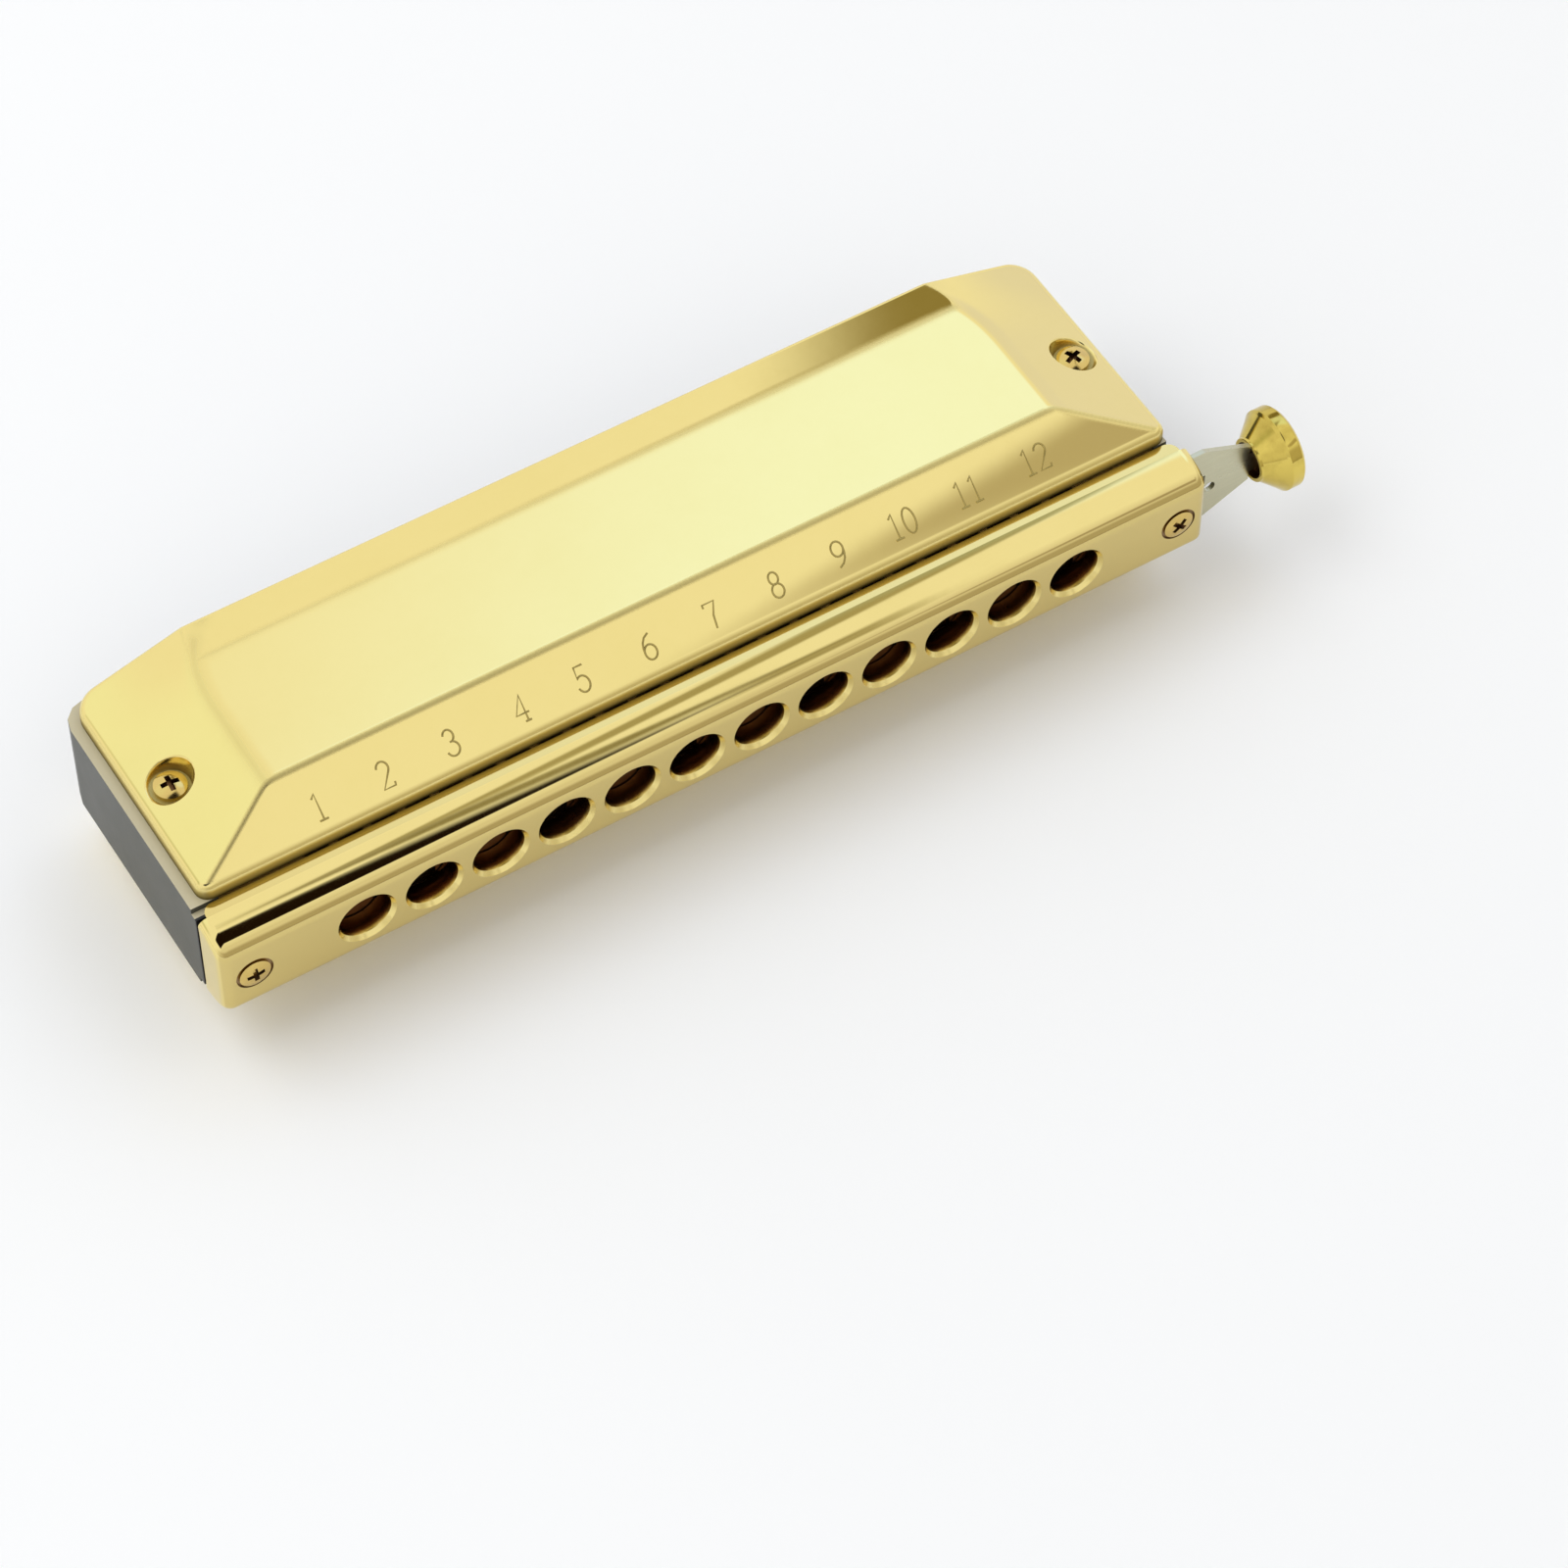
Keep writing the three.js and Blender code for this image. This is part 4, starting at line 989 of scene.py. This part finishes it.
def new_finish(name):
    material = bpy.data.materials.new(name)
    material.use_nodes = True
    tree = material.node_tree
    return material, tree, tree.nodes["Principled BSDF"]


def gray(level):
    return (level, level, level, 1)


def mix_color(tree, share, a, b, blend="MIX"):
    settings = {"data_type": "RGBA", "blend_type": blend}
    return add_node(tree, "Mix", settings, i0=share, i6=a, i7=b).outputs[2]


def relief(tree, strength, distance, height):
    return add_node(tree, "Bump", Strength=strength, Distance=distance, Height=height).outputs[0]


SMUDGE_SCALE = 70.0
LINE_MASK = 0.4
LINE_HEIGHT = 0.5
METAL_RELIEF = 0.0004
# The painted shade's power and the roughness it adds, the facings over which the front's painted darker
# reflection comes in, the depths over which a hole's plain rim fades into painted shade, and the places
# along X where the slide's painted inner shade ends.
PAINTED_SHADE_POWER = 3.0
PAINTED_SHADE_ROUGHNESS = 0.6
FRONT_SHADE_FACING = (-0.45, -0.6)
BORE_SHADE_DEPTH = (0.65, 1.2)
INNER_SHADE_END = (64.0, 68.0)


def metal(name, color, dull, roughness, smudge=0.5, bump=0.02, lines=None, **marks):
    """A polished or ground metal: its colour, a duller tone in the smudges and its roughness range.

    The marks are further colours. A painted shade lies where the mesh's own shares say, a painted
    darker reflection on the faces that look to the front, an unshaded rim on the first stretch of the
    holes, past which they stay in painted shade, and a painted shade on the part that stays inside.
    """
    material, tree, shader = new_finish(name)
    smudges = use_group(tree, "smudges", Scale=SMUDGE_SCALE, Amount=smudge)
    share, height = smudges.outputs["Mask"], smudges.outputs["Swell"]
    if lines:
        scratches = use_group(tree, "fine_lines", **lines)
        share = math_node(tree, "MULTIPLY_ADD", scratches.outputs["Mask"], LINE_MASK, share)
        height = math_node(tree, "MULTIPLY_ADD", scratches.outputs["Height"], LINE_HEIGHT, height)
    rough = ramp(tree, share, 0.0, 1.0, *roughness)
    tone = mix_color(tree, share, (*color, 1), (*dull, 1))
    for mark, mark_color in marks.items():
        # Painted shade where the mesh's shares say, which also roughens the polish.
        if mark == "tarnish":
            own = add_node(tree, "Attribute", {"attribute_name": "tarnish"}).outputs["Fac"]
            cover = math_node(tree, "POWER", own, PAINTED_SHADE_POWER)
            rough = math_node(tree, "MULTIPLY_ADD", own, PAINTED_SHADE_ROUGHNESS, rough)
        # Painted darker reflection on the faces that look to the front.
        elif mark == "worn":
            cover = ramp(tree, way_faced(tree)[1], *FRONT_SHADE_FACING)
        # The plain colour near a hole's face, fading into the painted shade deeper in.
        elif mark == "rim":
            limits = [(FACE + depth) * MM for depth in BORE_SHADE_DEPTH]
            cover = ramp(tree, split(tree, object_place(tree))[1], *limits, 1.0, 0.0)
        # Painted shade on the part of the slide that stays inside.
        elif mark == "oiled":
            limits = [x * MM for x in INNER_SHADE_END]
            cover = ramp(tree, split(tree, object_place(tree))[0], *limits, 1.0, 0.0)
        tone = mix_color(tree, cover, tone, (*mark_color, 1))
    normal = relief(tree, bump, METAL_RELIEF, height)
    feed(tree, shader, Base_Color=tone, Metallic=1.0, Roughness=rough, Normal=normal)
    return material


GRAIN_SCALE = 1500.0
GRAIN_BUMP = 0.12
GRAIN_RELIEF = 0.0001
BLOTCH_TONE = 0.86
TOP_FACING = (0.5, 0.9)


def plastic(name, color, top_color, roughness, front=None):
    """Satin moulded plastic, with another tone on its faces that look up or down.

    Where a front is given, as its colour and the depth it ends at, that takes the place of the rest: a
    painted shadow along the front edge.
    """
    material, tree, shader = new_finish(name)
    grain = use_group(tree, "moulded_grain", Scale=GRAIN_SCALE)
    blotch = grain.outputs["Blotch"]
    top = ramp(tree, math_node(tree, "ABSOLUTE", way_faced(tree)[2]), *TOP_FACING)
    tone = mix_color(tree, blotch, (*[part * BLOTCH_TONE for part in color], 1), (*color, 1))
    tone = mix_color(tree, top, tone, (*top_color, 1))
    # A front colour is a painted shadow along the front edge.
    if front:
        depth = split(tree, object_place(tree))[1]
        tone = mix_color(tree, math_node(tree, "LESS_THAN", depth, front[1]), tone, (*front[0], 1))
    rough = ramp(tree, blotch, 0.0, 1.0, *roughness)
    normal = relief(tree, GRAIN_BUMP, GRAIN_RELIEF, grain.outputs["Height"])
    feed(tree, shader, Base_Color=tone, Roughness=rough, Normal=normal)
    return material


# How deep the painted shadow along the comb's front edge reaches.
COMB_SHADOW_DEPTH = 0.35
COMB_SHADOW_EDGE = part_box("comb")[0].y + COMB_SHADOW_DEPTH * MM
# The gold's mark darkens it where the mesh's shares say: painted shade in the creases, the seats and down
# the rolled edge.
GOLD = metal(
    "gold_plating", (0.875, 0.725, 0.285), (0.84, 0.69, 0.25), (0.03, 0.12), 0.35, 0.012,
    tarnish=(0.10, 0.075, 0.012),
)
# The rail's front-facing faces take a darker tone, a painted reflection.
GOLD_RAIL = metal(
    "gold_plating_of_rail", (0.87, 0.72, 0.285), (0.83, 0.68, 0.25), (0.035, 0.12), 0.35, 0.012,
    worn=(0.69, 0.55, 0.21),
)
# The lips' gold is darker than the rail's: painted shade under the edge of the covers.
GOLD_LIP_IN_SHADE = metal(
    "gold_of_lips_in_painted_shade", (0.77, 0.59, 0.205), (0.73, 0.555, 0.185), (0.05, 0.14), 0.35, 0.012
)
GOLD_NUMBERS = metal("gold_of_numbers", (0.44, 0.35, 0.12), (0.38, 0.29, 0.09), (0.2, 0.35))
# The bores' dark gold is painted shade inside the holes; near their mouths it turns back to plain gold.
BORE_GOLD_IN_SHADE = metal(
    "gold_of_bores_in_painted_shade", (0.26, 0.13, 0.05), (0.06, 0.03, 0.012), (0.2, 0.32), 0.7, 0.04,
    rim=(0.86, 0.71, 0.28),
)
BRASS = metal("turned_brass", (0.72, 0.56, 0.125), (0.30, 0.20, 0.025), (0.07, 0.18), 0.9)
# Brass in painted shade, for the back plate seen through the holes and for the mouthpiece's sockets.
BRASS_IN_SHADE = metal("brass_in_painted_shade", (0.34, 0.22, 0.10), (0.16, 0.10, 0.05), (0.3, 0.5), 0.7, 0.05)
SCREW_BRASS = metal("screw_brass", (0.74, 0.55, 0.18), (0.55, 0.37, 0.10), (0.12, 0.28), 0.6, 0.03)
# Painted shade in the screws' crosses and in the button's recess.
RECESS_SHADE_BRASS = metal("painted_shade_of_recesses", (0.16, 0.08, 0.03), (0.08, 0.04, 0.02), (0.35, 0.5), 0.7, 0.05)
REED_BRASS = metal(
    "reed_brass", (0.66, 0.48, 0.18), (0.55, 0.37, 0.13), (0.25, 0.45), 0.8, 0.1,
    lines={"Length": 30.0, "Fineness": 2500.0},
)
# The slide's steel is darker where it stays inside: painted shade.
STEEL = metal(
    "ground_steel", (0.60, 0.58, 0.41), (0.53, 0.51, 0.36), (0.26, 0.38), 0.4,
    lines={"Length": 60.0, "Fineness": 5000.0}, oiled=(0.26, 0.17, 0.10),
)
WIRE = metal("spring_wire", (0.45, 0.46, 0.47), (0.36, 0.36, 0.37), (0.25, 0.4), bump=0.05)
# The comb's front edge is black, a painted shadow in the gap at the mouthpiece.
COMB = plastic(
    "comb_plastic", (0.060, 0.061, 0.048), (0.57, 0.51, 0.34), (0.38, 0.5),
    front=((0.008, 0.008, 0.008), COMB_SHADOW_EDGE),
)
FILM = plastic("valve_film", (0.62, 0.62, 0.60), (0.66, 0.66, 0.63), (0.35, 0.5))
RUBBER = plastic("bumper_rubber", (0.03, 0.03, 0.033), (0.035, 0.035, 0.038), (0.6, 0.75))


# Dressing the frame

WELD_REACH = 0.001
BEVEL_SEGMENTS = 2
MOUTH_SPINS = (5, 45)
COVER_SPINS = (-4, 20)


def dress(node, material, bevel=0.0):
    """Gives a CAD node its finish and, where a width is given, broken edges."""
    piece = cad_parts[node]
    piece.data.materials.clear()
    piece.data.materials.append(material)
    if bevel:
        weld = piece.modifiers.new("weld", "WELD")
        weld.merge_threshold = WELD_REACH * MM
        edges = piece.modifiers.new("broken_edges", "BEVEL")
        edges.width = bevel * MM
        edges.segments = BEVEL_SEGMENTS
        edges.limit_method = "ANGLE"
        edges.angle_limit = math.radians(SHARP["bevel"])
        edges.harden_normals = True


def build_covers():
    for side, word in SIDES:
        mesh = cover_mesh(side, word + "_cover_skin")
        add_piece(word + "_cover_shell", mesh, GOLD, stands_for=[word + "_cover"])
    for number, x in enumerate(NUMBER_X, start=1):
        add_piece(f"number_{number}", number_curve(str(number), x), GOLD_NUMBERS)


def build_mouthpiece():
    mesh = mouthpiece_mesh()
    add_piece("mouthpiece_rail", mesh, GOLD_RAIL, stands_for=["mouthpiece"])
    for side, word in SIDES:
        # The lips' darker gold is painted shade.
        add_piece(f"mouthpiece_{word}_lip", lip_mesh(side), GOLD_LIP_IN_SHADE)


def add_screw(name, head, spot, turn, spin):
    """A screw's head at a spot, turned to face out and with its cross turned by spin degrees."""
    matrix = Matrix.Translation(Vector(spot)) @ turn @ Matrix.Rotation(math.radians(spin), 4, "Z")
    mesh = screw_mesh(name + "_mesh", matrix=matrix, **head)
    add_piece(name + "_head", mesh, SCREW_BRASS, stands_for=[name])


def build_screws():
    for end, end_word, mouth_spin, cover_spin in zip(ENDS, ("left", "right"), MOUTH_SPINS, COVER_SPINS):
        turn = Matrix.Rotation(math.radians(90), 4, "X")
        spot = place(end * MOUTH_SCREW_X, 0, 0)
        add_screw(f"mouthpiece_screw_{end_word}", MOUTH_HEAD, spot, turn, mouth_spin)
        for side, word in SIDES:
            turn = Matrix.Rotation(0 if side > 0 else math.pi, 4, "X")
            spot = place(end * COVER_SCREW_X, COVER_SCREW_DEPTH, side * COVER_SEAT)
            add_screw(f"{word}_cover_screw_{end_word}", COVER_HEAD, spot, turn, cover_spin)


def build_slide():
    dress("slide", STEEL, bevel=0.08)
    add_piece(
        "slide_button_turned", button_mesh(), BRASS, body="slide", stands_for=["slide_button"]
    )
    add_piece("slide_spring_wire", spring_curve(), WIRE, stands_for=["slide_spring"])


def build_inside():
    dress("comb", COMB, bevel=0.12)
    # The back plate, seen only through the holes, is in painted shade.
    dress("slide_back_plate", BRASS_IN_SHADE)
    dress("slide_bumper", RUBBER)
    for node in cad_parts:
        if node.endswith("reed_plate"):
            dress(node, REED_BRASS)
        elif "plate_screw" in node:
            dress(node, SCREW_BRASS)
        elif "windsaver" in node:
            dress(node, FILM)


# Studio

CAMERA_AZIMUTH = math.radians(-31.34)
CAMERA_ELEVATION = math.radians(53.64)
CAMERA_DISTANCE = 699.03
CAMERA_ASIDE = (6.606, -5.144)
CAMERA_LENS = 131.07
CAMERA_SENSOR = 36.0
CAMERA_CLIP = (0.01, 20)
FLOOR_HALF = 3.0
FLOOR_TONES = (0.955, 0.97)
FLOOR_BLOTCH = 90.0
HORIZON = (-0.1, 0.17)
ROOM_TONES = (0.7, 1.0)
PATCH_POWER = 8.0
FAR_AWAY = 9.0
LAMP_PLACE = (-0.45, 0.25, 0.9)
LAMP_SIZE = (0.9, 0.6)
LAMP_ENERGY = 2.4


def build_camera():
    turn, rise = CAMERA_AZIMUTH, CAMERA_ELEVATION
    back = Vector((math.sin(turn) * math.cos(rise), -math.cos(turn) * math.cos(rise), math.sin(rise)))
    right = Vector((math.cos(turn), math.sin(turn), 0))
    up = back.cross(right)
    spot = Vector(place(0, 0, 0))
    spot += (right * CAMERA_ASIDE[0] + up * CAMERA_ASIDE[1] + back * CAMERA_DISTANCE) * MM
    camera = bpy.data.cameras.new("camera")
    camera.sensor_width = CAMERA_SENSOR
    camera.lens = CAMERA_LENS
    camera.clip_start, camera.clip_end = CAMERA_CLIP
    holder = link_new("camera", camera)
    matrix = Matrix((right, up, back)).transposed().to_4x4()
    matrix.translation = spot
    holder.matrix_world = matrix
    bpy.context.scene.camera = holder


def build_floor():
    corners = [(x * FLOOR_HALF, y * FLOOR_HALF, 0) for x, y in ((-1, -1), (1, -1), (1, 1), (-1, 1))]
    mesh = new_mesh("floor", corners, [(0, 1, 2, 3)])
    floor = link_new("floor", mesh)
    material, tree, shader = new_finish("white_floor")
    blotch = use_group(tree, "moulded_grain", Scale=FLOOR_BLOTCH).outputs["Blotch"]
    tone = mix_color(tree, blotch, *map(gray, FLOOR_TONES))
    feed(tree, shader, Base_Color=tone, Roughness=0.9, Specular_IOR_Level=0.1)
    mesh.materials.append(material)


def room_patch_group():
    """A soft-edged patch of the room: 1 on it and 0 away from it."""
    group, entry, leave = new_group(
        "room_patch",
        {"Way": Vector(), "Centre": Vector(), "Long": Vector(), "Short": Vector(), "Softness": 0.2},
        {"Share": "Float"},
    )

    def along(label):
        ways = {"i0": entry.outputs["Way"], "i1": entry.outputs[label]}
        return add_node(group, "VectorMath", {"operation": "DOT_PRODUCT"}, **ways).outputs["Value"]

    edges = [math_node(group, "POWER", along(label), PATCH_POWER) for label in ("Long", "Short")]
    distance = math_node(group, "POWER", math_node(group, "ADD", *edges), 1 / PATCH_POWER)
    behind = math_node(group, "LESS_THAN", along("Centre"), 0.0)
    distance = math_node(group, "MULTIPLY_ADD", behind, FAR_AWAY, distance)
    inner = math_node(group, "SUBTRACT", 1.0, entry.outputs["Softness"])
    outer = math_node(group, "ADD", 1.0, entry.outputs["Softness"])
    feed(group, leave, Share=ramp(group, distance, inner, outer, 1.0, 0.0, "SMOOTHSTEP"))
    return group


# Each patch: where it stands (azimuth and elevation), the way of its length in plan, half its
# length and width as sines, its softness and its tone.
ROOM_PATCHES = {
    "dark_lamp": ((-114.1, 71.1), 13, (0.407, 0.215), 0.06, (0.012, 0.006, 0.003)),
    "lamp_arm_high": ((-10.3, 73.8), 103.2, (0.175, 0.018), 0.5, (0.30, 0.27, 0.17)),
    "lamp_arm_low": ((-43.7, 63.3), 97.1, (0.13, 0.018), 0.5, (0.46, 0.42, 0.30)),
    "picture_rail": ((40.0, 65.0), 62.5, (0.2, 0.032), 0.4, (0.44, 0.40, 0.27)),
    "shelf": ((-54.5, 43.3), 72, (0.13, 0.047), 0.4, (0.55, 0.50, 0.43)),
    "bookcase": ((60.0, 34), 150, (0.071, 0.13), 0.22, (0.30, 0.25, 0.11)),
    "curtain": ((150, 38), 60, (0.22, 0.12), 0.5, (0.7, 0.72, 0.6)),
    "window": ((38, 52), 128, (0.275, 0.17), 0.25, (1.06, 1.26, 1.7)),
    "pale_door": ((34, 24), 124, (0.2, 0.2), 0.4, (0.88, 0.89, 1.09)),
    "garden_wall": ((120, 55), 120, (0.25, 0.25), 0.4, (1.02, 1.09, 1.08)),
    "low_wall": ((-75, 12), 15, (0.87, 0.36), 0.35, (0.6, 0.56, 0.48)),
}


def add_patch(tree, way, centre_angles, turn, halves, softness):
    """One patch of the room, whose output is its share for each way that the world is seen."""
    azimuth, elevation = (math.radians(angle) for angle in centre_angles)
    centre = Vector((math.cos(elevation), 0, math.sin(elevation)))
    centre = Matrix.Rotation(azimuth, 3, "Z") @ centre
    length = Vector((math.cos(math.radians(turn)), math.sin(math.radians(turn)), 0))
    length = (length - centre * length.dot(centre)).normalized()
    axes = {"Centre": centre, "Long": length / halves[0], "Short": centre.cross(length) / halves[1]}
    return use_group(tree, "room_patch", Way=way, Softness=softness, **axes)


def build_world():
    """A white room with a few soft patches of its furniture, which the metal mirrors."""
    world = bpy.data.worlds.new("studio")
    world.use_nodes = True
    bpy.context.scene.world = world
    tree = world.node_tree
    tree.nodes.clear()
    way = tree.nodes.new("ShaderNodeTexCoord").outputs["Generated"]
    upward = ramp(tree, split(tree, way)[2], *HORIZON, way="SMOOTHSTEP")
    tone = mix_color(tree, upward, *map(gray, ROOM_TONES))
    GROUPS["room_patch"] = room_patch_group()
    for name, (*shape, color) in ROOM_PATCHES.items():
        patch = add_patch(tree, way, *shape)
        patch.name = name
        tone = mix_color(tree, patch.outputs["Share"], tone, (*color, 1), "MULTIPLY")
    room = add_node(tree, "Background", Color=tone, Strength=1.0)
    add_node(tree, "OutputWorld", Surface=room.outputs[0])


def build_lamp():
    lamp = bpy.data.lights.new("softbox", "AREA")
    lamp.shape = "RECTANGLE"
    lamp.size, lamp.size_y = LAMP_SIZE
    lamp.energy = LAMP_ENERGY
    holder = link_new("softbox", lamp)
    holder.location = LAMP_PLACE
    holder.rotation_mode = "QUATERNION"
    holder.rotation_quaternion = Vector(LAMP_PLACE).to_track_quat("Z", "Y")
    holder.visible_glossy = False


build_covers()
build_mouthpiece()
build_screws()
build_slide()
build_inside()
build_camera()
build_floor()
build_world()
build_lamp()

bpy.context.scene.view_settings.view_transform = "Standard"
